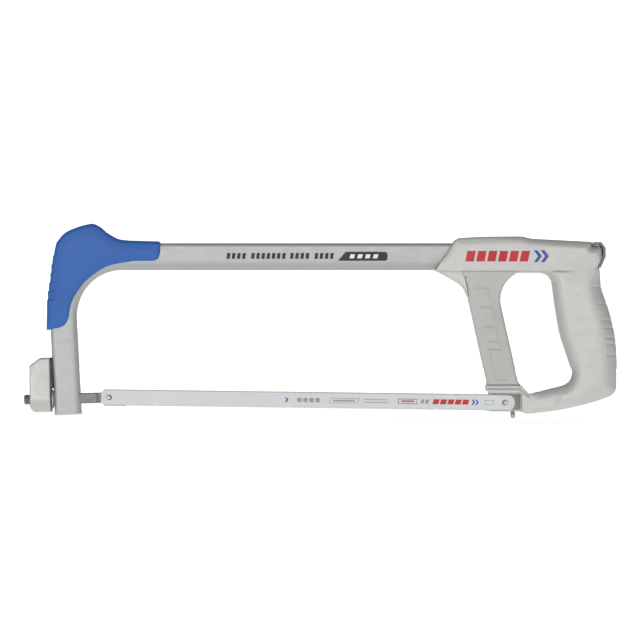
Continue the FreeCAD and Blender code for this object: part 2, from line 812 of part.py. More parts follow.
def tension_knob():
    """Cast knob with one lobe, flat towards the arm and bevelled on its outer side."""
    solid = doc.addObject("Part::Extrusion", "knob_solid")
    solid.Base = sketch("knob_end_view", END, knob_profile(), place=Vector(size("knob_outer"), 0, 0))
    solid.DirMode = "Normal"
    solid.Solid = True
    solid.setExpression("LengthFwd", "dims.knob_inner - dims.knob_outer")
    inner = size("knob_inner")
    outer = size("knob_outer")
    top = size("knob_reach") + 0.1
    low = -size("knob_hub_radius") - 0.1
    side_view = slab("knob_side_view", "3 * dims.knob_hub_radius", outline(
        (inner, low),
        ("line", (inner, top)),
        ("line", (outer + 8.6, top)),
        ("line", (outer, top - 6.6)),
        ("line", (outer, low + 6.0)),
        ("arc", (outer + 1.0, low + 2.4), (outer + 3.6, low)),
    ))
    shaped = doc.addObject("Part::Common", "knob_shaped")
    shaped.Base = solid
    shaped.Tool = side_view
    bore = rod("knob_bore", "dims.insert_dia + 0.04", (-70, 0, 0), (1, 0, 0), 40)
    knob = cut("tension_knob", shaped, bore)
    knob.Placement = front_pin_place()
    return knob


def knob_liner():
    """Dark plastic plate on the knob's inner face: thin round the washers, a wedge up the lobe."""
    inner = size("knob_inner")
    thin = inner + size("liner_thickness")
    low, top = -size("knob_hub_radius"), size("knob_reach")
    blank = doc.addObject("Part::Extrusion", "liner_blank")
    blank.Base = sketch("liner_end_view", END, knob_profile(0.4), place=Vector(inner, 0, 0))
    blank.DirMode = "Normal"
    blank.Solid = True
    blank.LengthFwd = 2.0
    side_view = slab("liner_side_view", "3 * dims.knob_hub_radius", outline(
        (inner - 0.1, low),
        ("line", (inner - 0.1, top)),
        ("line", (inner + 1.1, top)),
        ("line", (inner + 1.6, 9.2)),
        ("line", (inner + 1.4, 8.2)),
        ("line", (thin, 7.8)),
        ("line", (thin, low)),
    ))
    plate = doc.addObject("Part::Common", "liner_plate")
    plate.Base = blank
    plate.Tool = side_view
    bore = rod("liner_hole", "dims.liner_bore", (-50, 0, 0), (1, 0, 0), 20)
    liner = cut("knob_liner", plate, bore)
    liner.Placement = front_pin_place()
    return liner


def knob_insert():
    """Threaded steel bush that is pressed in the knob and turns on the bolt."""
    owner = body("knob_insert", front_pin_place())
    ring = round_hole_sketch(owner, "insert_outside", "YZ_Plane", "dims.insert_dia",
                             Vector(0, 0, size("knob_outer") + 0.6))
    pad(owner, "insert_blank", ring, "dims.knob_inner - dims.knob_outer - 0.6")
    bore = round_hole_sketch(owner, "insert_bore", "YZ_Plane", "dims.stud_dia + 2 * dims.thread_fit",
                             Vector(0, 0, size("knob_outer")))
    pocket(owner, "insert_thread", bore, "dims.knob_inner - dims.knob_outer + 1", reverse=True)
    return owner


def ring_on_bolt(name, *steps):
    """Washer turned about the bolt's axis; its section is given as (along the axis, radius)."""
    owner = body(name, front_pin_place())
    section = body_sketch(owner, name + "_section", "XZ_Plane", [outline(*steps)])
    doc.recompute()
    turned = owner.newObject("PartDesign::Revolution", name + "_turned")
    turned.Profile = section
    turned.ReferenceAxis = (section, ["H_Axis"])
    turned.Angle = 360
    return owner


def washer_sizes():
    """Radius of the washers' bore and rim, and the place of the knob's inner face along the bolt."""
    return size("washer_bore") / 2, size("washer_dia") / 2, size("knob_inner")


def thrust_washer():
    """Domed washer that the knob turns against, flat towards its seat."""
    bore, rim, face = washer_sizes()
    return ring_on_bolt(
        "thrust_washer",
        (face + 1.0, bore),
        ("line", (face + 0.05, bore)),
        ("curve", (face + 0.14, bore + 0.9), (face + 0.34, bore + 1.8), (face + 0.8, rim)),
        ("line", (face + 1.0, rim)),
    )


def washer_seat():
    """Second domed washer, turned the other way, that lies against the arm."""
    bore, rim, face = washer_sizes()
    return ring_on_bolt(
        "washer_seat",
        (face + 1.05, bore),
        ("line", (face + 1.05, rim)),
        ("line", (face + 1.25, rim)),
        ("curve", (face + 1.71, bore + 1.8), (face + 1.91, bore + 0.9), (face + 2.0, bore)),
    )


# ---------------------------------------------------------------- the whole saw

def build():
    """Make every piece; the names are the nodes' names."""
    outside = tube_body("beam_outside", 0.0)
    inside = tube_body("beam_inside", size("beam_wall"))
    sleeve = post_sleeve()
    deep = size("anchor_depth") - 3.4
    return [
        beam_tube(outside, inside),
        front_grip(outside),
        arm_guide_block(),
        arm_end_plug(),
        thrust_washer(),
        washer_seat(),
        handle_casting(outside, sleeve),
        sleeve,
        beam_set_screws(),
        rear_anchor_block(),
        anchor_screw(),
        blade_pin("rear_blade_pin", blade_place(), deep),
        rear_flush_pin(),
        door_hinge_pin(),
        storage_door(),
        tension_knob(),
        knob_liner(),
        knob_insert(),
        draw_bolt(),
        blade_pin("front_blade_pin", front_pin_place(), size("square_side") / 2 - 0.4),
        saw_blade(),
    ]


def check(pieces):
    """Stop if anything in the document failed, or if a piece has no valid solid."""
    doc.recompute()
    for item in doc.Objects:
        if "Invalid" in item.State or "Error" in item.State:
            raise RuntimeError(f"{item.Name} failed: {item.State}")
    for piece in pieces:
        shape = piece.Shape
        if shape.isNull() or not shape.isValid() or not shape.Solids:
            raise RuntimeError(f"{piece.Name} has no valid solid")


def export(pieces):
    """Write one STEP file for each piece."""
    os.makedirs("parts", exist_ok=True)
    for piece in pieces:
        piece.Label = piece.Name
        piece.Shape.exportStep(f"parts/{piece.Name}.step")
        print(piece.Name, len(piece.Shape.Solids), round(piece.Shape.Volume))


saw = build()
check(saw)
export(saw)
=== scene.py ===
"""Looks of the hacksaw: soft grips, cast handle, toothed blade, threads, marks and materials.

Shapes are drawn in millimetres in the CAD frame (origin at the rear blade pin, +X towards the
handle, +Z up) and turned into metres when a mesh is made.
"""
import math

import bmesh
import bpy
import numpy as np
from mathutils import Matrix, Vector


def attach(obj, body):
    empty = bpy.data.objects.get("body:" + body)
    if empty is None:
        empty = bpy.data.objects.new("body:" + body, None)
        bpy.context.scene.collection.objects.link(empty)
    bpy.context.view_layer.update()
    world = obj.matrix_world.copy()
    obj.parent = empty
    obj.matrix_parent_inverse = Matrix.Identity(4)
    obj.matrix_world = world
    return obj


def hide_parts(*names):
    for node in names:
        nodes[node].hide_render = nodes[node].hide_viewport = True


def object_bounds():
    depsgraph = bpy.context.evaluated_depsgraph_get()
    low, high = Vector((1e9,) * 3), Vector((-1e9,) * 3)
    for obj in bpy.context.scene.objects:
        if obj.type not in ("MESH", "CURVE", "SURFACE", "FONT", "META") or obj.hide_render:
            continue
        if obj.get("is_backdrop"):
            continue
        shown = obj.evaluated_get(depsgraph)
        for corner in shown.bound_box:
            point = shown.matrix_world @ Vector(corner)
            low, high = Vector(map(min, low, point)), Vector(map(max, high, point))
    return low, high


MM = 0.001

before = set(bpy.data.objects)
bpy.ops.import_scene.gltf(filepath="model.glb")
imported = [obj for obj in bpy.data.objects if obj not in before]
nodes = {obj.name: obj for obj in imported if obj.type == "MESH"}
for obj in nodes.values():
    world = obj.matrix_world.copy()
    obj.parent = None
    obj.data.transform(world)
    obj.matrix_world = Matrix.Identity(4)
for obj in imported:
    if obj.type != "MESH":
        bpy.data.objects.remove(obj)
cad_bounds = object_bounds()


# ---------------- the frame's own lines

BEAM_HEIGHT = 110.7
BEAM_HALF_DEPTH = 10.2
BEAM_HALF_WIDTH = 6.5
BEAM_WALL = 1.6
BEAM_REAR = 64.0
BEND_RADIUS = 44.2

# Corner radii of the tube's section, across and down, outside the bow and inside it
OUTER_CORNER = (3.0, 3.0)
INNER_CORNER = (4.2, 7.0)
INNER_CORNER_MEAN = 5.5

ARM_TILT = math.radians(2.8)
ARM_FOOT = (-331.5, -7.7)
BLADE_TILT = math.radians(0.75)
SCREW_TILT = math.radians(1.5)
PIN_SPAN = 301.16

BEND_Z = BEAM_HEIGHT - BEND_RADIUS
BEND_X = ARM_FOOT[0] + (BEND_RADIUS - (BEND_Z - ARM_FOOT[1]) * math.sin(ARM_TILT)) / math.cos(ARM_TILT)
FRONT_PIN = (-PIN_SPAN * math.cos(BLADE_TILT), PIN_SPAN * math.sin(BLADE_TILT))


def turned(x, z, tilt):
    """Matrix that takes a piece drawn at the origin to (x, z), its x axis rising by tilt."""
    return Matrix.Translation((x, 0, z)) @ Matrix.Rotation(-tilt, 4, "Y")


SCREW_PLACE = turned(*FRONT_PIN, SCREW_TILT)
BLADE_PLACE = turned(0, 0, -BLADE_TILT)


# ---------------- outlines and distances

def arc_points(start, through, end, spacing):
    """Points along the circle through three points, without the start."""
    (ax, az), (bx, bz), (cx, cz) = start, through, end
    d = 2 * (ax * (bz - cz) + bx * (cz - az) + cx * (az - bz))
    a2, b2, c2 = ax * ax + az * az, bx * bx + bz * bz, cx * cx + cz * cz
    ox = (a2 * (bz - cz) + b2 * (cz - az) + c2 * (az - bz)) / d
    oz = (a2 * (cx - bx) + b2 * (ax - cx) + c2 * (bx - ax)) / d
    radius = math.hypot(ax - ox, az - oz)
    first = math.atan2(az - oz, ax - ox)
    middle = (math.atan2(bz - oz, bx - ox) - first) % math.tau
    sweep = (math.atan2(cz - oz, cx - ox) - first) % math.tau
    if middle > sweep:
        sweep -= math.tau
    count = max(3, int(abs(sweep) * radius / spacing))
    angles = [first + sweep * i / count for i in range(1, count + 1)]
    return [(ox + radius * math.cos(a), oz + radius * math.sin(a)) for a in angles]


def curve_points(points, spacing):
    """Points along a smooth curve through the given points, without the first."""
    p = np.array(points, float)
    ends = np.vstack([2 * p[0] - p[1], p, 2 * p[-1] - p[-2]])
    made = []
    for i in range(1, len(ends) - 2):
        p0, p1, p2, p3 = ends[i - 1:i + 3]
        count = max(2, int(np.linalg.norm(p2 - p1) / spacing))
        for t in np.arange(1, count + 1) / count:
            made.append(tuple(0.5 * (2 * p1 + (p2 - p0) * t + (2 * p0 - 5 * p1 + 4 * p2 - p3) * t * t
                                     + (3 * p1 - p0 - 3 * p2 + p3) * t ** 3)))
    return made


def outline(start, *steps, spacing=0.8):
    """Closed outline as points: a step is a point, ("arc", through, end) or ("curve", point, ...)."""
    points = [start]
    for step in steps:
        if step[0] == "arc":
            points += arc_points(points[-1], step[1], step[2], spacing)
        elif step[0] == "curve":
            points += curve_points([points[-1], *step[1:]], spacing)
        else:
            points.append(step)
    return np.array(points, float)


def outline_distance(points, x, z):
    """Distance from an outline, negative inside, at each (x, z)."""
    best = np.full(np.broadcast(x, z).shape, 1e9)
    inside = np.zeros(best.shape, bool)
    for (ax, az), (bx, bz) in zip(points, np.roll(points, -1, axis=0)):
        ex, ez = bx - ax, bz - az
        length = ex * ex + ez * ez
        if length < 1e-12:
            continue
        t = np.clip(((x - ax) * ex + (z - az) * ez) / length, 0, 1)
        best = np.minimum(best, (x - ax - t * ex) ** 2 + (z - az - t * ez) ** 2)
        if az != bz:
            crosses = (az > z) != (bz > z)
            inside ^= crosses & (x < ex * (z - az) / ez + ax)
    return np.where(inside, -1, 1) * np.sqrt(best)


def overlap(a, b, radius):
    """Distance from what lies inside both of two distances, with the edge rounded by a radius."""
    a, b = a + radius, b + radius
    outside = np.hypot(np.maximum(a, 0), np.maximum(b, 0))
    return np.minimum(np.maximum(a, b), 0) + outside - radius


def slab(flat, y, half, soft):
    """Distance from an outline made solid between -half and half along y, with soft edges."""
    return overlap(flat, np.abs(y) - half, soft)


def block(x, y, z, low, high, soft=0.0):
    """Distance from a box between two corners."""
    sides = [np.abs(v - (a + b) / 2) - (b - a) / 2 + soft for v, a, b in zip((x, y, z), low, high)]
    outside = np.sqrt(sum(np.maximum(s, 0) ** 2 for s in sides))
    inner = np.minimum(np.maximum(np.maximum(sides[0], sides[1]), sides[2]), 0)
    return outside + inner - soft


def join(a, b, soft):
    """Union of two distances with a fillet of about this size."""
    share = np.clip(0.5 + 0.5 * (b - a) / soft, 0, 1)
    return b + (a - b) * share - soft * share * (1 - share)


def carve(a, b, soft=0.01):
    """Take b away from a, with an edge of about this softness."""
    return -join(-a, b, soft)


def tube_distance(x, y, z, grow=0.0):
    """Distance from the outside of the frame tube, made bigger all round by grow."""
    vx, vz = x - BEND_X, z - BEND_Z
    inward = (math.cos(ARM_TILT), math.sin(ARM_TILT))
    along_arm = vx * math.sin(ARM_TILT) - vz * math.cos(ARM_TILT)
    beam = vz - BEND_RADIUS
    arm = -(vx * inward[0] + vz * inward[1]) - BEND_RADIUS
    bend = np.hypot(vx, vz) - BEND_RADIUS
    offset = np.where((vx > 0) & (vz > 0), beam, np.where(along_arm > 0, arm, bend))
    radius = np.where(offset > 0, OUTER_CORNER[0], INNER_CORNER_MEAN) + grow
    return overlap(np.abs(offset) - BEAM_HALF_DEPTH - grow, np.abs(y) - BEAM_HALF_WIDTH - grow, radius)


# ---------------- meshes

def grid_crossings(field, axis):
    """Where the grid edges along an axis cross zero, how far along, and which start inside."""
    f = np.moveaxis(field, axis, 0)
    near, far = f[:-1], f[1:]
    cross = (near < 0) != (far < 0)
    share = np.where(cross, near / np.where(cross, near - far, 1), 0)
    return cross, share, near < 0


def cell_vertices(field, crossings):
    """One vertex in each crossed cell, at the middle of its crossings, and each cell's number."""
    cells = tuple(n - 1 for n in field.shape)
    total = np.zeros(cells + (3,))
    hits = np.zeros(cells)
    for axis, (cross, share, _) in enumerate(crossings):
        index = np.indices(cross.shape).astype(float)
        index[0] += share
        u, v = [n - 1 for n in cross.shape[1:]]
        summed = np.moveaxis(total, axis, 0)
        counted = np.moveaxis(hits, axis, 0)
        others = [a for a in range(3) if a != axis]
        for du, dv in np.ndindex(2, 2):
            part = (slice(None), slice(du, du + u), slice(dv, dv + v))
            weight = cross[part]
            counted += weight
            for source, target in enumerate([axis] + others):
                summed[..., target] += index[source][part] * weight
    used = hits > 0
    number = np.full(cells, -1)
    number[used] = np.arange(np.count_nonzero(used))
    return total[used] / hits[used][:, None], number


def crossing_quads(number, crossings):
    """A quad round each crossed grid edge, through its four cells, facing outwards."""
    quads = []
    inner = (slice(None), slice(1, -1), slice(1, -1))
    for axis, (cross, _, starts_inside) in enumerate(crossings):
        n = np.moveaxis(number, axis, 0)
        i, j, k = np.nonzero(cross[inner])
        quad = np.stack([n[i, j, k], n[i, j + 1, k], n[i, j + 1, k + 1], n[i, j, k + 1]], axis=1)
        forward = starts_inside[inner][i, j, k]
        if axis == 1:
            forward = ~forward
        quad[~forward] = quad[~forward][:, ::-1]
        quads.append(quad)
    return np.vstack(quads)


def surface(field, low, step):
    """Vertices and quads of the surface where a sampled distance field is zero."""
    crossings = [grid_crossings(field, axis) for axis in range(3)]
    vertices, number = cell_vertices(field, crossings)
    vertices = settle(field, vertices)
    return vertices * step + np.array(low), crossing_quads(number, crossings)


def settle(field, points, rounds=3):
    """Move points, in grid units, onto the zero surface along the field's slope."""
    furthest = 0.4
    slope = np.stack(np.gradient(field), axis=-1)
    limit = np.array(field.shape) - 1.001
    for _ in range(rounds):
        base = np.floor(np.clip(points, 0, limit)).astype(int)
        share = points - base
        value = np.zeros(len(points))
        lean = np.zeros(points.shape)
        for corner in np.ndindex(2, 2, 2):
            weight = np.prod(np.where(corner, share, 1 - share), axis=1)
            at = tuple((base + corner).T)
            value += weight * field[at]
            lean += weight[:, None] * slope[at]
        size = np.maximum((lean ** 2).sum(axis=1), 1e-6)
        move = -(value / size)[:, None] * lean
        points = np.clip(points + np.clip(move, -furthest, furthest), 0, limit)
    return points


def sample_grid(low, high, step):
    """Coordinates of a grid of points as three arrays that broadcast to the whole grid."""
    axes = [np.arange(a, b + step, step) for a, b in zip(low, high)]
    return np.meshgrid(*axes, indexing="ij", sparse=True)


def solid_from(name, distance, low, high, step, place=None, sharp=40):
    """Mesh object of a distance function sampled between two corners."""
    x, y, z = sample_grid(low, high, step)
    field = np.broadcast_to(distance(x, y, z), np.broadcast(x, y, z).shape)
    vertices, quads = surface(np.ascontiguousarray(field), low, step)
    return mesh_object(name, vertices, quads, place, sharp)


def mesh_object(name, vertices, faces, place=None, sharp=40):
    """Smooth-shaded object from vertices in millimetres and faces, kept inside the CAD's box."""
    mesh = bpy.data.meshes.new(name)
    mesh.from_pydata([tuple(v) for v in vertices], [], [tuple(int(i) for i in f) for f in faces])
    mesh.transform(Matrix.Scale(MM, 4) @ (place or Matrix.Identity(4)))
    spots = np.empty(3 * len(mesh.vertices), np.float32)
    mesh.vertices.foreach_get("co", spots)
    mesh.vertices.foreach_set("co", np.clip(spots.reshape(-1, 3), *np.array(cad_bounds)).ravel())
    mesh.validate()
    return smooth_object(name, mesh, sharp)


def smooth_object(name, mesh, sharp):
    """Object of a mesh, shaded smooth except at edges sharper than this many degrees."""
    mesh.shade_smooth()
    mesh.set_sharp_from_angle(angle=math.radians(sharp))
    return add_object(name, mesh)


def add_object(name, data):
    """New object of a mesh, a lamp or a camera."""
    made = bpy.data.objects.new(name, data)
    bpy.context.scene.collection.objects.link(made)
    return made


def ring_faces(rings, around):
    """Quads that join each ring of vertices to the next."""
    faces = []
    for ring in range(rings - 1):
        for i in range(around):
            a, b = ring * around + i, ring * around + (i + 1) % around
            faces.append([a, a + around, b + around, b])
    return faces


def ramp(value, start, end):
    """0 before start, 1 after end and smooth between them."""
    t = np.clip((value - start) / (end - start), 0, 1)
    return t * t * (3 - 2 * t)


def band(value, centre, half, edge=0.4):
    """1 within half of the centre, fading to 0 over the edge."""
    return 1 - ramp(np.abs(value - centre), half - edge / 2, half + edge / 2)


def rod(x, y, z, start, direction, radius, length):
    """Distance from a cylinder that starts at a point and runs along a direction."""
    d = np.array(direction, float) / np.linalg.norm(direction)
    vx, vy, vz = x - start[0], y - start[1], z - start[2]
    along = vx * d[0] + vy * d[1] + vz * d[2]
    away = np.sqrt(np.maximum(vx ** 2 + vy ** 2 + vz ** 2 - along ** 2, 0)) - radius
    return np.maximum(away, np.abs(along - length / 2) - length / 2)


# ---------------- outlines of the handle and grips

POST_LEFT = ((-28.6, 79.0), (-14.6, 16.4))
POST_RIGHT = (
    (9.0, 16.4),
    (-4.0, 74.5),
    ("arc", (-2.0, 87.8), (9.5, 98.5)),
)
GRIP_FRONT = (
    ("curve", (37.0, 75.0), (40.5, 54.5), (45.1, 39.4), (48.9, 28.0)),
    ("arc", (49.3, 18.5), (42.8, 13.0)),
)
GRIP_BACK = ((84.3, 28.0), (83.3, 47.0), (80.4, 62.0), (77.0, 74.0), (72.6, 87.0), (70.9, 100.5))

OPENING = outline(
    (9.5, 98.5),
    (25.0, 98.5),
    ("arc", (32.3, 95.6), (35.0, 89.5)),
    *GRIP_FRONT,
    (17.6, 6.6),
    *POST_RIGHT,
)

BODY = outline(
    (-53.7, 100.3),
    (-39.9, 121.6),
    ("arc", (-37.8, 123.7), (-34.4, 124.8)),
    ("curve", (-16.0, 125.7), (11.1, 126.0)),
    (20.1, 124.2),
    (65.2, 121.9),
    (65.2, 118.2),
    (69.3, 118.2),
    (69.3, 119.3),
    (70.7, 119.3),
    (73.1, 116.4),
    (73.2, 111.0),
    (69.5, 102.7),
    (70.6, 102.1),
    GRIP_BACK[-1],
    ("curve", *GRIP_BACK[-2::-1], (84.0, 13.4)),
    ("arc", (82.3, 7.6), (77.5, 4.2)),
    ("curve", (65.6, 0.2), (42.8, -5.0), (20.0, -8.0)),
    (14.8, -8.0),
    (11.1, -6.7),
    (-11.4, -6.7),
    (-13.2, -4.9),
    (-13.2, 8.4),
    (-15.2, 9.1),
    (-15.2, 12.9),
    POST_LEFT[1],
    POST_LEFT[0],
    ("curve", (-33.5, 88.4), (-44.0, 95.2), (-52.0, 99.4)),
)

GRIP = outline(
    (33.5, 108.0),
    (35.0, 89.5),
    *GRIP_FRONT,
    (42.8, -30.0),
    (110.0, -30.0),
    (110.0, 108.0),
)

SLEEVE = outline(
    (-33.4, 99.6),
    (-31.2, 94.6),
    ("curve", (-29.6, 88.0), POST_LEFT[0], (-27.8, 75.5)),
    POST_LEFT[1],
    (-14.6, 13.2),
    (11.4, 13.2),
    *POST_RIGHT,
    (9.5, 99.6),
)

CORE = outline(
    (-28.5, 103.0),
    (-26.4, 79.0),
    (-12.4, 16.4),
    (-12.4, 10.0),
    (8.4, 10.0),
    (6.8, 16.4),
    (-6.2, 74.5),
    ("arc", (-4.4, 88.6), (4.0, 98.0)),
    (5.0, 103.0),
)

FRONT_GRIP = outline(
    (-347.8, 55.0),
    ("curve", (-347.6, 66.0), (-347.2, 82.0), (-345.4, 94.0)),
    ("curve", (-343.6, 108.0), (-340.2, 121.6)),
    ("curve", (-333.8, 128.7), (-324.5, 133.0), (-316.0, 135.3), (-312.0, 135.5),
     (-307.0, 133.0), (-301.7, 128.6), (-293.4, 124.1), (-285.0, 122.9)),
    (-262.6, 122.3),
    (-261.2, 120.4),
    (-261.2, 114.3),
    ("curve", (-262.9, 109.0), (-267.0, 106.9)),
    (-282.0, 106.9),
    ("curve", (-301.6, 102.9), (-317.5, 92.2), (-327.6, 77.4), (-330.8, 63.6)),
    ("curve", (-333.5, 59.0), (-338.5, 56.4), (-347.8, 55.0)),
)


# ---------------- the cast handle and its sleeve

POST_HALF = 10.0
GRIP_HALF = 14.0
HOUSING_HALF = 12.0
CORE_HALF = 7.5
CORE_SOFT = 0.5
SLEEVE_HALF = 10.25
HINGE_X, HINGE_Z = 67.3, 120.1

COLLAR_GROOVE = outline(
    (-16.0, 11.2),
    (10.2, 11.2),
    (17.6, 4.9),
    (16.9, 4.1),
    (9.8, 10.1),
    (-16.0, 10.1),
)


def blade_frame(x, z):
    """Coordinates along and across the blade."""
    c, s = math.cos(BLADE_TILT), math.sin(BLADE_TILT)
    return x * c - z * s, x * s + z * c


def handle_half(x, z, body, opening, full, rise):
    """Half the casting's width; full is 1 in the grip and rise is 1 in the housing."""
    bar_lean, back_lean, crown = 2.4, 3.0, 1.3
    low_half = POST_HALF + (GRIP_HALF - POST_HALF) * full
    half = low_half + (HOUSING_HALF - low_half) * rise
    bar = ramp(x, 15, 30) * (1 - full) * (1 - ramp(z, 20, 30))
    half = half - bar_lean * bar * (1 - ramp(opening, 0, 7))
    half = half - back_lean * full * ramp(x, 54, 68) * (1 - ramp(-body, 0, 15)) * (1 - rise)
    return half - crown * ramp(z, 104, 114) * (1 - ramp(-body, 0, 6.5))


def handle_softness(x, z, full, rise):
    """Roundness of the casting's edges: tight at the blade, wide round the grip and the top."""
    low_soft = 0.9 + 3.0 * ramp(x, 15, 28) + 5.6 * full
    top_soft = 1.0 + (1.2 + 3.2 * ramp(x, -30, 60)) * ramp(z, 106, 114)
    return low_soft + (top_soft - low_soft) * np.maximum(rise, ramp(z, 97, 112))


def handle_body(x, y, z):
    """The casting's outside: housing, post, blade block, lower bar and full rear grip."""
    body = outline_distance(BODY, x, z)
    opening = outline_distance(OPENING, x, z)
    full = 1 - ramp(outline_distance(GRIP, x, z), -3, 9)
    step = ramp(z, 98.9, 99.6)
    rise = step + (ramp(z, 84, 114) - step) * ramp(x, 32, 54)
    half = handle_half(x, z, body, opening, full, rise)
    whole = slab(np.maximum(body, -opening), y, half, handle_softness(x, z, full, rise))
    return whole + rear_ribs(x, z, body)


def hinge_lug(x, y, z):
    """Small lug on the housing's rear corner that carries the door's hinge pin."""
    radius, half = 1.6, 3.9
    knuckle = rod(x, y, z, (HINGE_X, -half, HINGE_Z), (0, 1, 0), radius, 2 * half)
    foot = block(x, y, z, (HINGE_X - radius, -half, 117.8), (HINGE_X + radius, half, HINGE_Z))
    return np.minimum(knuckle, foot)


def handle_holes(x, y, z):
    """What is cut out of the casting, each as a distance."""
    u, w = blade_frame(x, z)
    tube_room = np.maximum(tube_distance(x, y, z, 0.05), x - BEAM_REAR)
    storage_mouth = block(x, y, z, (60.0, -4.9, 103.6), (80.0, 4.9, 117.0))
    blade_seat = block(x, y, z, (-20.0, -20.0, -9.0), (11.8, 0.32, 7.4), 0.3)
    anchor_pocket = block(u, y, w, (-9.65, 0.0, -5.05), (10.65, 8.55, 5.95))
    screw_head = rod(x, y, z, (-6.0, 8.6, 0.6), (0, 1, 0), 4.0, 4)
    screw_hole = rod(x, y, z, (-6.0, 3.0, 0.6), (0, 1, 0), 2.0, 10)
    flush_pin_hole = rod(x, y, z, (5.5, 6.6, -2.6), (0, -1, -1), 1.7, 14)
    hinge_hole = rod(x, y, z, (HINGE_X, -12, HINGE_Z), (0, 1, 0), 0.75, 24)
    set_screw_holes = [rod(x, y, z, (centre, 0, 90), (0, 0, 1), 3.0, 13) for centre in (-44, 17)]
    return [tube_room, storage_mouth, blade_seat, anchor_pocket, screw_head, screw_hole,
            flush_pin_hole, hinge_hole, *set_screw_holes]


def handle_distance(x, y, z):
    """The whole casting, with room for the sleeve, a core inside it, and its holes."""
    sleeve_room = np.maximum(outline_distance(SLEEVE, x, z), z - 99.5)
    whole = carve(handle_body(x, y, z), sleeve_room)
    lip = block(x, y, z, (-15.2, -10.5, 11.2), (10.6, 10.5, 13.1), 0.5)
    core = slab(outline_distance(CORE, x, z), y, CORE_HALF, CORE_SOFT)
    for added in (lip, core, hinge_lug(x, y, z)):
        whole = np.minimum(whole, added)
    for hole in handle_holes(x, y, z):
        whole = carve(whole, hole, 0.25)
    groove = np.maximum(outline_distance(COLLAR_GROOVE, x, z), 8.4 - np.abs(y))
    return carve(whole, groove, 0.15)


def rear_ribs(x, z, body):
    """Height taken off the back of the grip in the grooves between its moulded ribs."""
    depth, half, edge = 0.5, 0.55, 0.7
    reach = ramp(x, 62, 66) * (1 - ramp(-body, 6.5, 9.0))
    grooves = 0
    for centre in (87.8, 75.2, 62.5, 57.0, 49.5, 44.7, 36.3):
        grooves = np.maximum(grooves, band(z, centre, half, edge))
    return depth * grooves * reach


def sleeve_relief(across, z):
    """Depth of the sleeve's side pattern: bowed pads stand out, a panel and a fold are sunk."""
    pad_height, panel_depth, fold_depth, bow = 0.5, 0.45, 0.8, 0.035
    pads = 0
    for low, high, half in ((76.5, 87.0, 5.0), (61.0, 72.5, 5.0), (49.5, 57.5, 4.5), (41.5, 46.5, 5.0)):
        bowed = z + bow * across ** 2
        pad = band(across, 0, half, 0.9) * band(bowed, (low + high) / 2, (high - low) / 2, 0.7)
        pads = np.maximum(pads, pad)
    panel = band(across, 0.5, 4.8, 0.9) * band(z, 28.0, 10.6, 0.7)
    fold = band(across, 0, 5.3, 0.9) * band(z, 40.6, 0.55, 0.6)
    return panel_depth * panel - pad_height * pads + fold_depth * fold


def sleeve_distance(x, y, z):
    """The soft sleeve round the post, with a pattern down both sides and a dimple at its top."""
    flat = outline_distance(SLEEVE, x, z)
    sleeve = slab(flat, y, SLEEVE_HALF, 0.8 + 1.8 * (1 - ramp(z, 90, 97)))
    (top_x, top_z), (foot_x, foot_z) = POST_LEFT
    lean = (foot_x - top_x) / (foot_z - top_z)
    across = x - (top_x + 11.5 + lean * (z - top_z))
    sleeve = sleeve + ramp(np.abs(y), 7.5, 9.0) * sleeve_relief(across, z)
    dimple = rod(x, y, z, (-30.6, -12, 95.2), (0, 1, 0), 0.8, 3.2)
    core = slab(outline_distance(CORE, x, z), y, CORE_HALF - 0.05, CORE_SOFT)
    return carve(carve(sleeve, dimple, 0.3), core)


def front_grip_distance(x, y, z):
    """The soft cap on the bend, crowned across and stepped like scales down its front."""
    half, crown, pitch, depth = 9.5, 1.1, 6.7, 0.75
    edge = outline_distance(FRONT_GRIP, x, z)
    cap = slab(edge, y, half - crown * (1 - ramp(-edge, 0, 9)), 3.0)
    scale = ((111.5 - z) / pitch) % 1.0
    front = ramp(-x, 338, 345) * ramp(z, 77.5, 78.5) * (1 - ramp(z, 117.5, 118.5))
    return carve(cap + depth * scale * front, tube_distance(x, y, z, 0.03), 0.02)


# ---------------- the frame tube

def tube_ring(shrink, steps=9):
    """The tube's section as (y, depth) points, with its walls moved in by shrink."""
    wide, deep = BEAM_HALF_WIDTH - shrink, BEAM_HALF_DEPTH - shrink
    ring = []
    for side_y, side_z in ((1, 1), (-1, 1), (-1, -1), (1, -1)):
        across, down = (r - shrink for r in (OUTER_CORNER if side_z > 0 else INNER_CORNER))
        turns = np.linspace(0, math.pi / 2, steps)
        corner = [(side_y * (wide - across + across * math.cos(a)),
                   side_z * (deep - down + down * math.sin(a))) for a in turns]
        ring += corner if side_y * side_z > 0 else corner[::-1]
    return ring


def tube_stations(steps=48):
    """Points of the tube's centre line with the direction that points out of the bow."""
    beam_turn, arm_turn = math.pi / 2, math.pi + ARM_TILT
    stations = [(BEAM_REAR, BEAM_HEIGHT, beam_turn)]
    for turn in np.linspace(beam_turn, arm_turn, steps):
        stations.append((BEND_X + BEND_RADIUS * math.cos(turn), BEND_Z + BEND_RADIUS * math.sin(turn), turn))
    stations.append((*ARM_FOOT, arm_turn))
    return stations


def drilled(piece, cutters):
    """Cut closed pieces out of another and delete them."""
    for cutter in cutters:
        hole = piece.modifiers.new(cutter.name, "BOOLEAN")
        hole.operation = "DIFFERENCE"
        hole.object = cutter
    seen = piece.evaluated_get(bpy.context.evaluated_depsgraph_get())
    mesh = bpy.data.meshes.new_from_object(seen)
    piece.modifiers.clear()
    piece.data = mesh
    mesh.shade_smooth()
    mesh.set_sharp_from_angle(angle=math.radians(40))
    for cutter in cutters:
        bpy.data.objects.remove(cutter)
    return piece


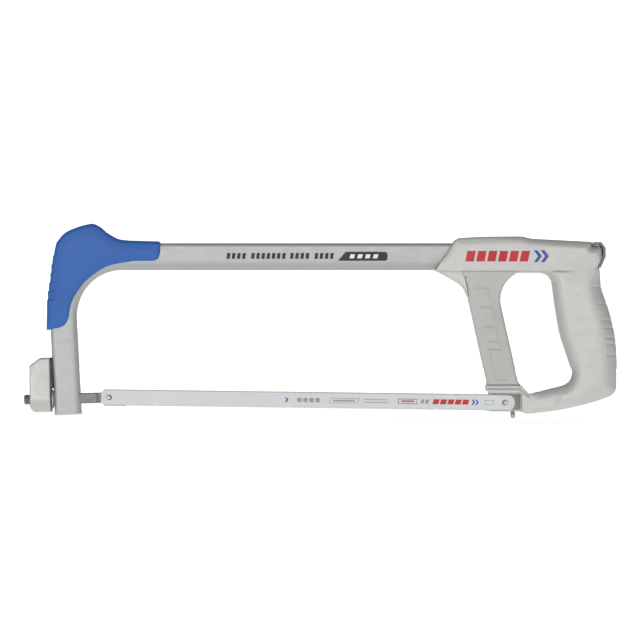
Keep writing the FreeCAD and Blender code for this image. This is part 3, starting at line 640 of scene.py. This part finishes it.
def wall_faces(around, rows):
    """Faces of an outer and an inner wall of rows rings each, and of the rims that join them."""
    faces = []
    for wall in range(2):
        for row in range(rows - 1):
            first = (wall * rows + row) * around
            for i in range(around):
                a, b = first + i, first + (i + 1) % around
                faces.append([a, b, b + around, a + around][::1 - 2 * wall])
    for first in (0, (rows - 1) * around):
        for i in range(around):
            a, b = first + i, first + (i + 1) % around
            faces.append([a, b, b + rows * around, a + rows * around])
    return faces


def arm_cutters():
    """Closed pieces the shape of the arm's holes: round at the front, square at the back."""
    side = 4.4
    square = [(-side, -side), (side, -side), (side, side), (-side, side)]
    sections = {"round_cutter": (circle(0, 0, side, 48), -48, -33), "square_cutter": (square, -30, -14)}
    cutters = [mesh_object(name, *prism(*section), SCREW_PLACE) for name, section in sections.items()]
    for cutter in cutters:
        turn_outward(cutter)
    return cutters


def beam_tube():
    """Bent steel tube with a round hole and a square hole where the draw bolt crosses its arm."""
    stations = tube_stations()
    vertices = []
    for shrink in (0.0, BEAM_WALL):
        ring = tube_ring(shrink)
        vertices += [(x + d * math.cos(turn), y, z + d * math.sin(turn))
                     for x, z, turn in stations for y, d in ring]
    tube = mesh_object("beam_tube_drawn", vertices, wall_faces(len(ring), len(stations)))
    turn_outward(tube)
    return drilled(tube, arm_cutters())


# ---------------- the knob

KNOB_INNER, KNOB_OUTER = -43.3, -59.2
KNOB_HUB = 10.2
KNOB_TOP = 31.9
KNOB_BORE = 6.52


def knob_end(y, z):
    """Distance from the knob's outline seen along the bolt: a round hub with one tapered lobe."""
    corner, taper = 2.5, math.radians(7.4)
    low_half, low = (KNOB_HUB - corner) * math.cos(taper), (KNOB_HUB - corner) * math.sin(taper)
    high_half = (KNOB_HUB - corner - (KNOB_TOP - corner) * math.sin(taper)) / math.cos(taper)
    lobe = outline(
        (high_half, KNOB_TOP - corner),
        (low_half, low),
        (-low_half, low),
        (-high_half, KNOB_TOP - corner),
    )
    return np.minimum(np.hypot(y, z) - KNOB_HUB, outline_distance(lobe, y, z) - corner)


def knob_side(x, z):
    """Distance from the knob's outline seen from the side, bevelled at its top and its foot."""
    side = outline(
        (KNOB_INNER, -KNOB_HUB),
        (KNOB_INNER, KNOB_TOP),
        (KNOB_OUTER + 8.6, KNOB_TOP),
        (KNOB_OUTER, KNOB_TOP - 6.6),
        (KNOB_OUTER, -KNOB_HUB + 6.0),
        ("arc", (KNOB_OUTER + 1.0, -KNOB_HUB + 2.4), (KNOB_OUTER + 3.6, -KNOB_HUB)),
    )
    return outline_distance(side, x, z)


def knob_distance(x, y, z):
    """The cast knob with its bore; x is along the bolt."""
    shape = overlap(knob_end(y, z), knob_side(x, z), 1.3)
    return carve(shape, np.hypot(y, z) - KNOB_BORE, 0.3)


# ---------------- draw bolt and blade

def prism(section, x0, x1):
    """Vertices and faces of a straight bar with this (y, z) section, in order round it."""
    count = len(section)
    vertices = [(x, y, z) for x in (x0, x1) for y, z in section]
    faces = [[i, (i + 1) % count, (i + 1) % count + count, i + count] for i in range(count)]
    faces += [list(range(count))[::-1], list(range(count, 2 * count))]
    return vertices, faces


def thread(x0, x1, radius, pitch, depth, around=56, rows=9):
    """Vertices and faces of a threaded rod with a chamfered free end at x0."""
    chamfer, crest, flank = 1.0, 0.12, 0.76
    count = int((x1 - x0) / pitch * rows)
    vertices = []
    for row in range(count + 1):
        x = x0 + (x1 - x0) * row / count
        for step in range(around):
            turn = step / around
            wave = abs(((x / pitch + turn) % 1.0) * 2 - 1)
            cut = depth * min(1.0, max(0.0, (wave - crest) / flank))
            r = min(radius - cut, radius - chamfer + (x - x0))
            vertices.append((x, r * math.cos(turn * math.tau), r * math.sin(turn * math.tau)))
    first_end, last_end = list(range(around)), [count * around + step for step in range(around)]
    return vertices, ring_faces(count + 1, around) + [first_end, last_end[::-1]]


def merged(*parts):
    """Join several (vertices, faces) into one."""
    vertices, faces = [], []
    for some, quads in parts:
        faces += [[index + len(vertices) for index in face] for face in quads]
        vertices += some
    return vertices, faces


def draw_bolt():
    """Square bar with chamfered edges, half lapped at the blade end, and a threaded stud."""
    side, edge, lap = 4.0, 0.7, 0.32
    full = [(side, edge - side), (side, side - edge), (side - edge, side), (edge - side, side),
            (-side, side - edge), (-side, edge - side), (edge - side, -side), (side - edge, -side)]
    half = [(side, edge - side), (side, side - edge), (side - edge, side), (lap, side),
            (lap, -side), (side - edge, -side)]
    bar = prism(full, -34.0, -8.9)
    lapped_end = prism(half, -9.2, 5.5)
    stud = thread(-64.0, -33.5, radius=3.9, pitch=1.25, depth=0.36)
    return mesh_object("draw_bolt_cut", *merged(bar, lapped_end, stud), place=SCREW_PLACE, sharp=25)


BLADE_PLAY = 0.58
BLADE_HALF = 6.3
BLADE_THICKNESS = 0.6
BLADE_HOLES = (-300.0 - BLADE_PLAY, -BLADE_PLAY)
HOLE_RADIUS = 2.1
BLADE_FRONT = BLADE_HOLES[0] - 6.2
BLADE_REAR = 7.7 - BLADE_PLAY
BLADE_CORNER = 2.4

# 24 teeth to the inch
TOOTH_PITCH = 25.4 / 24
TOOTH_DEPTH = 0.75
GULLET = (0.38, 0.62)
TEETH_START = -288.0
TOOTH_COUNT = int((-14.0 - TEETH_START) / TOOTH_PITCH)
TEETH_END = TEETH_START + TOOTH_COUNT * TOOTH_PITCH

# Heights of the blade's rows of vertices, as shares of half its depth
BLADE_ROWS = (1.0, 0.35, -0.2, -0.62, -0.8)


def circle(x, z, radius, count=40):
    """Points round a circle."""
    return [(x + radius * math.cos(math.tau * i / count), z + radius * math.sin(math.tau * i / count))
            for i in range(count)]


def front_border():
    """Outline of the blade in front of its teeth, with cut corners."""
    half, corner = BLADE_HALF, BLADE_CORNER
    seam = [(TEETH_START, half * row) for row in reversed(BLADE_ROWS[1:])]
    return seam + [(TEETH_START, half), (BLADE_FRONT + corner, half), (BLADE_FRONT, half - corner),
                   (BLADE_FRONT, corner - half), (BLADE_FRONT + corner, -half), (TEETH_START, -half)]


def rear_border():
    """Outline of the blade behind its teeth, with a half-round end."""
    half = BLADE_HALF
    bend = [(BLADE_REAR - half + half * math.cos(a), half * math.sin(a))
            for a in np.radians(np.arange(-90, 91, 9))]
    return [(TEETH_END, -half)] + bend + [(TEETH_END, half * row) for row in BLADE_ROWS]


def blade_end(mesh, border, hole_x):
    """Flat end of the blade with its pin hole."""
    edges = []
    for loop in (border, circle(hole_x, 0, HOLE_RADIUS)):
        points = [mesh.verts.new((x, 0, z)) for x, z in loop]
        edges += [mesh.edges.new((a, b)) for a, b in zip(points, points[1:] + points[:1])]
    bmesh.ops.triangle_fill(mesh, edges=edges, use_beauty=True, normal=(0, -1, 0))


def toothed_strip(mesh):
    """Flat middle of the blade, with a row of teeth along its lower edge."""
    columns = []
    for tooth in range(TOOTH_COUNT):
        x = TEETH_START + tooth * TOOTH_PITCH
        columns.append((x, -BLADE_HALF))
        columns += [(x + share * TOOTH_PITCH, TOOTH_DEPTH - BLADE_HALF) for share in GULLET]
    columns.append((TEETH_END, -BLADE_HALF))
    grid = [[mesh.verts.new((x, 0, BLADE_HALF * row)) for row in BLADE_ROWS] + [mesh.verts.new((x, 0, low))]
            for x, low in columns]
    for left, right in zip(grid, grid[1:]):
        for row in range(len(BLADE_ROWS)):
            mesh.faces.new((left[row], left[row + 1], right[row + 1], right[row]))


def thicken(mesh):
    """Give the flat blade its thickness, half to each side."""
    flat = bmesh.ops.extrude_face_region(mesh, geom=mesh.faces[:])
    moved = [item for item in flat["geom"] if isinstance(item, bmesh.types.BMVert)]
    bmesh.ops.translate(mesh, verts=moved, vec=(0, BLADE_THICKNESS, 0))
    bmesh.ops.translate(mesh, verts=mesh.verts, vec=(0, -BLADE_THICKNESS / 2, 0))
    bmesh.ops.recalc_face_normals(mesh, faces=mesh.faces)
    # The new side faces come in another order on each run, so all faces are put in order of place
    slope = Vector((1, 0.37, 0.11))
    mesh.faces.sort(key=lambda face: slope.dot(face.calc_center_median()))


def set_teeth(mesh):
    """Bend the toothed edge from side to side in a wave that fades out towards its ends."""
    swing, length, fade = 0.16, 8.5, 12
    for vert in mesh.verts:
        low = float(ramp(-vert.co.z, BLADE_HALF * 0.8, BLADE_HALF))
        fade_in = ramp(vert.co.x, TEETH_START, TEETH_START + fade)
        fade_out = 1 - ramp(vert.co.x, TEETH_END - fade, TEETH_END)
        vert.co.y += swing * low * float(fade_in * fade_out) * math.sin(vert.co.x * math.tau / length)


def saw_blade():
    """Thin blade with a pin hole at each end and fine teeth in a wavy set along its lower edge."""
    mesh = bmesh.new()
    for border, hole_x in zip((front_border(), rear_border()), BLADE_HOLES):
        blade_end(mesh, border, hole_x)
    toothed_strip(mesh)
    bmesh.ops.remove_doubles(mesh, verts=mesh.verts, dist=0.001)
    thicken(mesh)
    set_teeth(mesh)
    made = bpy.data.meshes.new("saw_blade_toothed")
    mesh.to_mesh(made)
    mesh.free()
    made.transform(Matrix.Scale(MM, 4) @ BLADE_PLACE)
    return smooth_object("saw_blade_toothed", made, 20)


# ---------------- printed marks

INK_HEIGHT = 0.1


def mark(name, shapes, y, body, finish, place=None, thickness=INK_HEIGHT):
    """Thin printed shapes on one side of the saw, each a closed list of (x, z)."""
    side = -1 if y < 0 else 1
    vertices, faces = [], []
    for shape in shapes:
        area = sum(ax * bz - bx * az for (ax, az), (bx, bz) in zip(shape, shape[1:] + shape[:1]))
        ring = shape if area * side < 0 else shape[::-1]
        count, start = len(ring), len(vertices)
        vertices += [(x, y, z) for x, z in ring] + [(x, y + side * thickness, z) for x, z in ring]
        low = [start + i for i in range(count)]
        high = [i + count for i in low]
        faces += [[a, b, d, c] for a, b, c, d in zip(low, low[1:] + low[:1], high, high[1:] + high[:1])]
        faces += [low[::-1], high]
    made = mesh_object(name, vertices, faces, place, sharp=30)
    turn_outward(made)
    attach(made, body)
    paint(made, FINISHES[finish])
    return made


def turn_outward(made):
    """Make every face of a closed mesh face outwards."""
    mesh = bmesh.new()
    mesh.from_mesh(made.data)
    bmesh.ops.recalc_face_normals(mesh, faces=mesh.faces)
    mesh.to_mesh(made.data)
    mesh.free()


def frame_marks():
    """Bars and arrows on the housing, and dashes, a badge and studs on the beam, on both sides."""
    bars = [slanted(x, x + 6.3, 106.9, 114.9, 1.6) for x in np.arange(-31.0, 17.0, 8.2)]
    arrows = [chevron(x, 110.9, 9.0, 3.4, 2.8) for x in (20.6, 25.9)]
    dashes = []
    for start, count in ((-211.5, 4), (-193.0, 7), (-163.5, 4), (-145.0, 4)):
        dashes += [slanted(x, x + 2.5, 109.0, 113.4, 0.5) for x in start + 3.9 * np.arange(count)]
    badge = [(-127.2, 107.5), (-91.6, 107.5), (-90.1, 108.1), (-89.6, 109.4), (-89.6, 112.5),
             (-90.1, 113.7), (-91.6, 114.3), (-121.4, 114.3)]
    studs = [slanted(x, x + 3.4, 109.4, 112.4, 0.9) for x in (-118.5, -112.6, -106.7, -100.8)]
    printed = {
        "housing_bars": (bars, HOUSING_HALF, "red"),
        "housing_arrows": (arrows, HOUSING_HALF, "ink_blue"),
        "beam_dashes": (dashes, BEAM_HALF_WIDTH, "black"),
        "beam_badge": ([badge], BEAM_HALF_WIDTH, "black"),
        "beam_studs": (studs, BEAM_HALF_WIDTH + INK_HEIGHT, "white"),
    }
    for side, label in ((-1, "left"), (1, "right")):
        for name, (shapes, y, finish) in printed.items():
            mark(f"{name}_{label}", shapes, y * side, "frame", finish)


def blade_marks():
    """Bars, boxes, rules and arrows on the side of the blade that faces the camera."""
    line = 1.9
    bars = [slanted(x, x + 4.6, -line, line, 1.0) for x in np.arange(-55.5, -29.0, 5.6)]
    bars += frame_of(-81.5, -67.0, -line, line, 0.5) + [slanted(-79.0, -69.5, -0.4, 0.7)]
    arrows = [chevron(x, 0.0, 4.0, 1.6, 1.4) for x in (-26.0, -23.2)] + [chevron(-167.5, 0.0, 3.6, 1.5, 1.4)]
    rules = frame_of(-134.0, -112.0, -line, line, 0.4, 1.4) + [slanted(-131.0, -114.5, -0.7, 0.5, 0.4)]
    rules += [slanted(x, x + 3.2, -1.6, 1.6) for x in np.arange(-158.0, -141.0, 4.6)]
    rules += [slanted(-107.0, -89.0, z, z + 0.6) for z in (-1.4, 0.7)]
    rules += [slanted(x, x + 2.2, -1.5, 1.5, 0.8) for x in (-64.5, -61.0)]
    rules += frame_of(-15.5, -8.8, -1.7, 1.7, 0.35)
    for finish, shapes in (("red", bars), ("ink_blue", arrows), ("grey", rules)):
        mark(f"blade_print_{finish}", shapes, -BLADE_THICKNESS / 2, "blade", finish, BLADE_PLACE, 0.04)


def frame_of(x0, x1, z0, z1, thick, lean=0.0):
    """Four bars round an open four-sided box."""
    tilt = lean * thick / (z1 - z0)
    low, high = z0 + thick, z1 - thick
    return [slanted(x0, x1, z0, low, tilt), slanted(x0 + lean - tilt, x1 + lean - tilt, high, z1, tilt),
            slanted(x0 + tilt, x0 + thick + tilt, low, high, lean - 2 * tilt),
            slanted(x1 - thick + tilt, x1 + tilt, low, high, lean - 2 * tilt)]


def slanted(x0, x1, z0, z1, lean=0.0):
    """Four-sided bar whose top is shifted by lean."""
    return [(x0, z0), (x1, z0), (x1 + lean, z1), (x0 + lean, z1)]


def chevron(x, z, height, width, thick):
    """Arrow head that points towards +x."""
    half = height / 2
    return [(x, z - half), (x + thick, z - half), (x + width + thick, z), (x + thick, z + half),
            (x, z + half), (x + width, z)]


# ---------------- materials

def srgb(red, green, blue):
    """Linear colour from 0-255 screen values."""

    def linear(value):
        value /= 255
        return value / 12.92 if value <= 0.04045 else ((value + 0.055) / 1.055) ** 2.4
    return linear(red), linear(green), linear(blue), 1.0


# Darker steel grey for the narrow bands along the blade's back and teeth
EDGE_BAND_GREY = srgb(150, 153, 153)


class Nodes:
    """Short way to make and link shader nodes."""

    def __init__(self, name):
        self.material = bpy.data.materials.new(name)
        self.material.use_nodes = True
        self.tree = self.material.node_tree
        self.shader = self.tree.nodes["Principled BSDF"]

    def add(self, kind, **inputs):
        """New node with these settings and inputs."""
        node = self.tree.nodes.new("ShaderNode" + kind)
        for name, value in inputs.items():
            self.put(node, name, value)
        return node

    def put(self, node, name, value):
        """Set a socket, a setting, or link another socket to it."""
        if hasattr(node, name) and not name[0].isupper():
            setattr(node, name, value)
            return
        socket = node.inputs[name.replace("_", " ")]
        if isinstance(value, bpy.types.NodeSocket):
            self.tree.links.new(value, socket)
        else:
            socket.default_value = value

    def noise(self, scale, detail=3.0, stretch=(1, 1, 1)):
        """Noise in the piece's own space; scale is in features per metre."""
        place = self.add("TexCoord").outputs["Object"]
        if stretch != (1, 1, 1):
            place = self.add("Mapping", Vector=place, Scale=stretch).outputs["Vector"]
        return self.add("TexNoise", Vector=place, Scale=scale, Detail=detail).outputs["Fac"]

    def remap(self, value, low, high, start=0.3, end=0.7):
        """Take a value's range from start to end to a range from low to high."""
        made = self.add("MapRange", Value=value)
        for socket, number in zip(("From Min", "From Max", "To Min", "To Max"), (start, end, low, high)):
            made.inputs[socket].default_value = number
        return made.outputs["Result"]

    def blend_colours(self, share, first, second):
        """Colour between two, at a share from 0 to 1."""
        made = self.add("Mix", data_type="RGBA")
        for index, value in ((0, share), (6, first), (7, second)):
            if isinstance(value, bpy.types.NodeSocket):
                self.tree.links.new(value, made.inputs[index])
            else:
                made.inputs[index].default_value = value
        return made.outputs[2]

    def clouded(self, colour, scale, low, high, detail=3.0):
        """A colour that drifts between a darker and a lighter shade of itself."""
        clouds = self.remap(self.noise(scale, detail), 0, 1)
        return self.blend_colours(clouds, shade(colour, low), shade(colour, high))

    def bump(self, height, strength, distance):
        """Normal that a height gives; distance is how far the height reaches."""
        return self.add("Bump", Height=height, Strength=strength, Distance=distance).outputs["Normal"]


def shade(colour, factor):
    """The colour made darker or lighter."""
    return tuple(min(1.0, channel * factor) for channel in colour[:3]) + (1.0,)


def blade_edge_bands(n):
    """1 in a narrow band along the blade's back and along its teeth, where the paint turns to a darker steel
    grey.
    """
    across = n.add("VectorMath", operation="DOT_PRODUCT")
    n.tree.links.new(n.add("TexCoord").outputs["Object"], across.inputs[0])
    across.inputs[1].default_value = (math.sin(BLADE_TILT), 0, math.cos(BLADE_TILT))
    height = n.add("Math", operation="ABSOLUTE")
    n.tree.links.new(across.outputs["Value"], height.inputs[0])
    return n.remap(height.outputs[0], 0, 1, 5.2 * MM, 5.6 * MM)


def painted(name, colour, rough, metal=0.0, peel=0.12, peel_scale=900, variation=0.05, edge_band=None):
    """Sprayed or powder coat: slight orange peel, faint clouding and small specks."""
    n = Nodes(name)
    base = n.clouded(colour, 28, 1 - variation, 1 + variation / 2)
    specks = n.remap(n.noise(2600, 1.0), 0, 1, 0.66, 0.74)
    coat = n.blend_colours(specks, base, shade(colour, 0.72))
    if edge_band:
        coat = n.blend_colours(edge_band(n), coat, EDGE_BAND_GREY)
    n.put(n.shader, "Base_Color", coat)
    n.put(n.shader, "Roughness", n.remap(n.noise(160, 4.0), rough - 0.06, rough + 0.07))
    n.shader.inputs["Metallic"].default_value = metal
    n.put(n.shader, "Normal", n.bump(n.noise(peel_scale, 2.0), peel, 0.08 * MM))
    return n.material


def rubber(name, colour, rough, grain_scale=1500, depth=0.35, variation=0.08):
    """Moulded soft plastic with a spark-eroded grain and a little sheen."""
    n = Nodes(name)
    base = n.clouded(colour, 22, 1 - variation, 1 + variation / 2)
    pits = n.remap(n.noise(grain_scale * 1.6, 2.0), 0, 1, 0.58, 0.72)
    n.put(n.shader, "Base_Color", n.blend_colours(pits, base, shade(colour, 0.8)))
    n.put(n.shader, "Roughness", n.remap(n.noise(grain_scale, 3.0), rough - 0.08, rough + 0.08))
    n.shader.inputs["Sheen Weight"].default_value = 0.08
    n.shader.inputs["Sheen Roughness"].default_value = 0.5
    n.put(n.shader, "Normal", n.bump(n.noise(grain_scale, 3.0), depth, 0.12 * MM))
    return n.material


def brushed(name, colour, rough, stretch=(0.04, 1, 1), scale=2600, scratch=0.25, metal=0.9):
    """Bare steel with fine drawn lines and dull patches."""
    n = Nodes(name)
    lines = n.noise(scale, 3.0, stretch)
    base = n.clouded(colour, 90, 0.86, 1.06, 4.0)
    n.put(n.shader, "Base_Color", n.blend_colours(n.remap(lines, 0, 0.5), base, shade(colour, 0.75)))
    n.put(n.shader, "Roughness", n.remap(lines, rough - 0.07, rough + 0.1))
    n.shader.inputs["Metallic"].default_value = metal
    n.put(n.shader, "Normal", n.bump(lines, scratch, 0.03 * MM))
    return n.material


def paint(piece, finish):
    """Give every material slot of a piece one finish."""
    if not piece.data.materials:
        piece.data.materials.append(finish)
    for slot in piece.material_slots:
        slot.material = finish


# ---------------- the pieces in place

def detailed_pieces():
    """The detailed pieces, each under the name of the CAD node that it replaces."""
    step = 0.6
    return {
        "beam_tube": beam_tube(),
        "handle_casting": solid_from(
            "handle_cast", handle_distance, (-56, -15.6, -10), (86, 15.6, 128), step),
        "post_sleeve": solid_from(
            "post_sleeve_soft", sleeve_distance, (-36, -12, 12), (14, 12, 101), step * 0.85),
        "front_grip": solid_from(
            "front_grip_soft", front_grip_distance, (-350, -11, 53), (-259, 11, 138), step),
        "tension_knob": solid_from(
            "tension_knob_cast", knob_distance, (-60.5, -12, -12), (-41, 12, 34), step * 0.7, SCREW_PLACE),
        "draw_bolt": draw_bolt(),
        "saw_blade": saw_blade(),
    }


FINISHES = {
    "tube": painted("tube_silver_paint", srgb(165, 166, 163), 0.42, 0.35, variation=0.03),
    "handle": painted("handle_silver_paint", srgb(188, 187, 183), 0.5, 0.25, peel=0.16, variation=0.03),
    "knob": painted("knob_silver_paint", srgb(179, 178, 174), 0.42, 0.3, variation=0.03),
    "blade": painted("blade_paint", srgb(192, 195, 196), 0.34, 0.1, peel=0.05, variation=0.02,
                     edge_band=blade_edge_bands),
    "blue": rubber("blue_soft_grip", srgb(30, 90, 167), 0.55),
    "sleeve": rubber("grey_soft_sleeve", srgb(182, 180, 175), 0.6),
    "plug": rubber("grey_plug_plastic", srgb(184, 184, 181), 0.5, 900, 0.2),
    # The door's dark grey is partly painted shade, darkening the rounded rear corner of the housing; the
    # hinge pin shares it
    "door": rubber("door_grey_painted_shade", srgb(108, 108, 105), 0.45, 900, 0.2),
    # Black for the knob liner is painted shade: it darkens the narrow gap between the knob and the arm
    "liner_shade_black": rubber("knob_gap_painted_shade", srgb(34, 34, 35), 0.5, 900, 0.2),
    "steel": brushed("bolt_steel", srgb(122, 123, 116), 0.4, metal=0.35),
    "pin": brushed("pin_steel", srgb(178, 178, 174), 0.35, (1, 0.04, 1), metal=0.5),
    "washer": brushed("washer_steel", srgb(215, 215, 210), 0.35, (1, 1, 1), 1500, metal=0.3),
    "black": painted("black_ink", srgb(22, 22, 24), 0.5, peel=0.04, variation=0.2),
    "red": painted("red_ink", srgb(186, 12, 26), 0.5, peel=0.04, variation=0.1),
    "ink_blue": painted("blue_ink", srgb(38, 70, 160), 0.5, peel=0.04, variation=0.1),
    "grey": painted("grey_ink", srgb(140, 144, 146), 0.5, peel=0.04, variation=0.15),
    "white": painted("white_ink", srgb(230, 230, 228), 0.5, peel=0.04, variation=0.05),
}

# CAD nodes that stay, under the finish that they get
CAD_FINISHES = {
    "steel": ("arm_guide_block", "beam_set_screws", "rear_anchor_block", "knob_insert"),
    "plug": ("arm_end_plug",),
    "washer": ("thrust_washer", "washer_seat"),
    "pin": ("anchor_screw", "rear_blade_pin", "rear_flush_pin", "front_blade_pin"),
    # Door and hinge pin get a dark grey that is partly painted shade on the housing's rear corner
    "door": ("door_hinge_pin", "storage_door"),
    # The knob liner's black is painted shade in the gap between the knob and the arm
    "liner_shade_black": ("knob_liner",),
}

# CAD nodes that a detailed piece replaces, with its body, its finish and its slot in the record
REPLACED_FINISHES = {
    "beam_tube": ("frame", "tube", "tube_paint"),
    "handle_casting": ("frame", "handle", "handle_paint"),
    "post_sleeve": ("frame", "sleeve", "sleeve_grey"),
    "front_grip": ("frame", "blue", "grip_blue"),
    "tension_knob": ("knob", "knob", "knob_paint"),
    "draw_bolt": ("tension_bolt", "steel", "steel"),
    "saw_blade": ("blade", "blade", "blade_paint"),
}

for finish, kept in CAD_FINISHES.items():
    for node in kept:
        paint(nodes[node], FINISHES[finish])

for node, piece in detailed_pieces().items():
    body, finish, slot = REPLACED_FINISHES[node]
    paint(piece, FINISHES[finish])
    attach(piece, body)
    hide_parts(node)

frame_marks()
blade_marks()


# ---------------- floor, lights and camera

# From here on, lengths are in metres
STAGE_X = -0.14


def turned_sheet(name, profile, height, finish, count=96):
    """Round stage surface from (radius, height) points, smooth and open."""
    rings = [(r, z) for r, z in profile if r > 0]
    turns = [math.tau * i / count for i in range(count)]
    vertices = [(STAGE_X + r * math.cos(a), r * math.sin(a), height + z)
                for r, z in rings for a in turns]
    faces = ring_faces(len(rings), count)
    if profile[0][0] == 0:
        faces += [[len(vertices), i, (i + 1) % count] for i in range(count)]
        vertices.append((STAGE_X, 0.0, height + profile[0][1]))
    mesh = bpy.data.meshes.new(name)
    mesh.from_pydata(vertices, [], faces)
    mesh.shade_smooth()
    sheet = add_object(name, mesh)
    paint(sheet, finish)
    sheet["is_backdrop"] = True
    return sheet


def floor_paper():
    """Pale paper that glows a little more further from the object."""
    n = Nodes("floor_paper")
    paper = n.blend_colours(n.remap(n.noise(3), 0, 1), (0.9, 0.9, 0.9, 1), (0.93, 0.93, 0.93, 1))
    n.put(n.shader, "Base_Color", paper)
    n.shader.inputs["Roughness"].default_value = 0.9
    n.shader.inputs["Emission Color"].default_value = (1, 1, 1, 1)
    away = n.add("VectorMath", operation="LENGTH")
    n.tree.links.new(n.add("TexCoord").outputs["Object"], away.inputs[0])
    glow = n.remap(away.outputs["Value"], low=0.62, high=1.0, start=0.09, end=1.4)
    n.put(n.shader, "Emission_Strength", glow)
    return n.material


def studio():
    """Round pale floor that curves up into a low wall, so every view has the same backdrop."""
    paper = floor_paper()
    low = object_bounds()[0].z
    edge, foot, bend = 1.2, 3.2, 1.6
    turned_sheet("floor", [(r, 0.0) for r in (0.0, 0.4, 0.8, edge)], low, paper)
    curve = [(foot + bend * math.sin(a), bend - bend * math.cos(a)) for a in np.radians(range(8, 89, 8))]
    wall = [(edge, 0.0), (2.2, 0.0), (foot, 0.0)] + curve + [(foot + bend, 1.8)]
    backdrop = turned_sheet("backdrop", wall, low, paper)
    backdrop.visible_diffuse = False
    backdrop.visible_glossy = False


def light(name, place, width, power):
    """Wide soft lamp that faces the middle of the saw."""
    middle, height = Vector((STAGE_X, 0.0, 0.06)), 0.7
    data = bpy.data.lights.new(name, "AREA")
    data.shape = "RECTANGLE"
    data.size, data.size_y, data.energy = width, height, power
    lamp = add_object(name, data)
    lamp.location = place
    lamp.rotation_euler = (middle - Vector(place)).to_track_quat("-Z", "Y").to_euler()


def lights():
    """Two lamps in front, one behind and an even, faintly blue surround."""
    light("key", (-1.0, -2.4, 0.5), 1.4, 19)
    light("front", (0.7, -2.9, 0.35), 1.6, 17)
    light("back", (0.3, 2.7, 0.35), 1.8, 23)
    world = bpy.data.worlds.new("studio")
    world.use_nodes = True
    surround = world.node_tree.nodes["Background"]
    surround.inputs["Color"].default_value = (0.9, 0.92, 0.95, 1)
    surround.inputs["Strength"].default_value = 0.28
    bpy.context.scene.world = world
    bpy.context.scene.view_settings.view_transform = "Standard"


def camera():
    """Level camera on the saw's side, far enough away to show almost no perspective."""
    frame_width, sensor, lens = 0.4855, 36.0, 200.0
    middle_x, middle_z = -0.14075, 0.0627
    data = bpy.data.cameras.new("camera")
    data.lens, data.sensor_width = lens, sensor
    data.clip_end = 50
    made = add_object("camera", data)
    distance = frame_width * lens / sensor
    made.location = (middle_x, -distance, middle_z)
    made.rotation_euler = (math.pi / 2, 0, 0)
    bpy.context.scene.camera = made


studio()
lights()
camera()
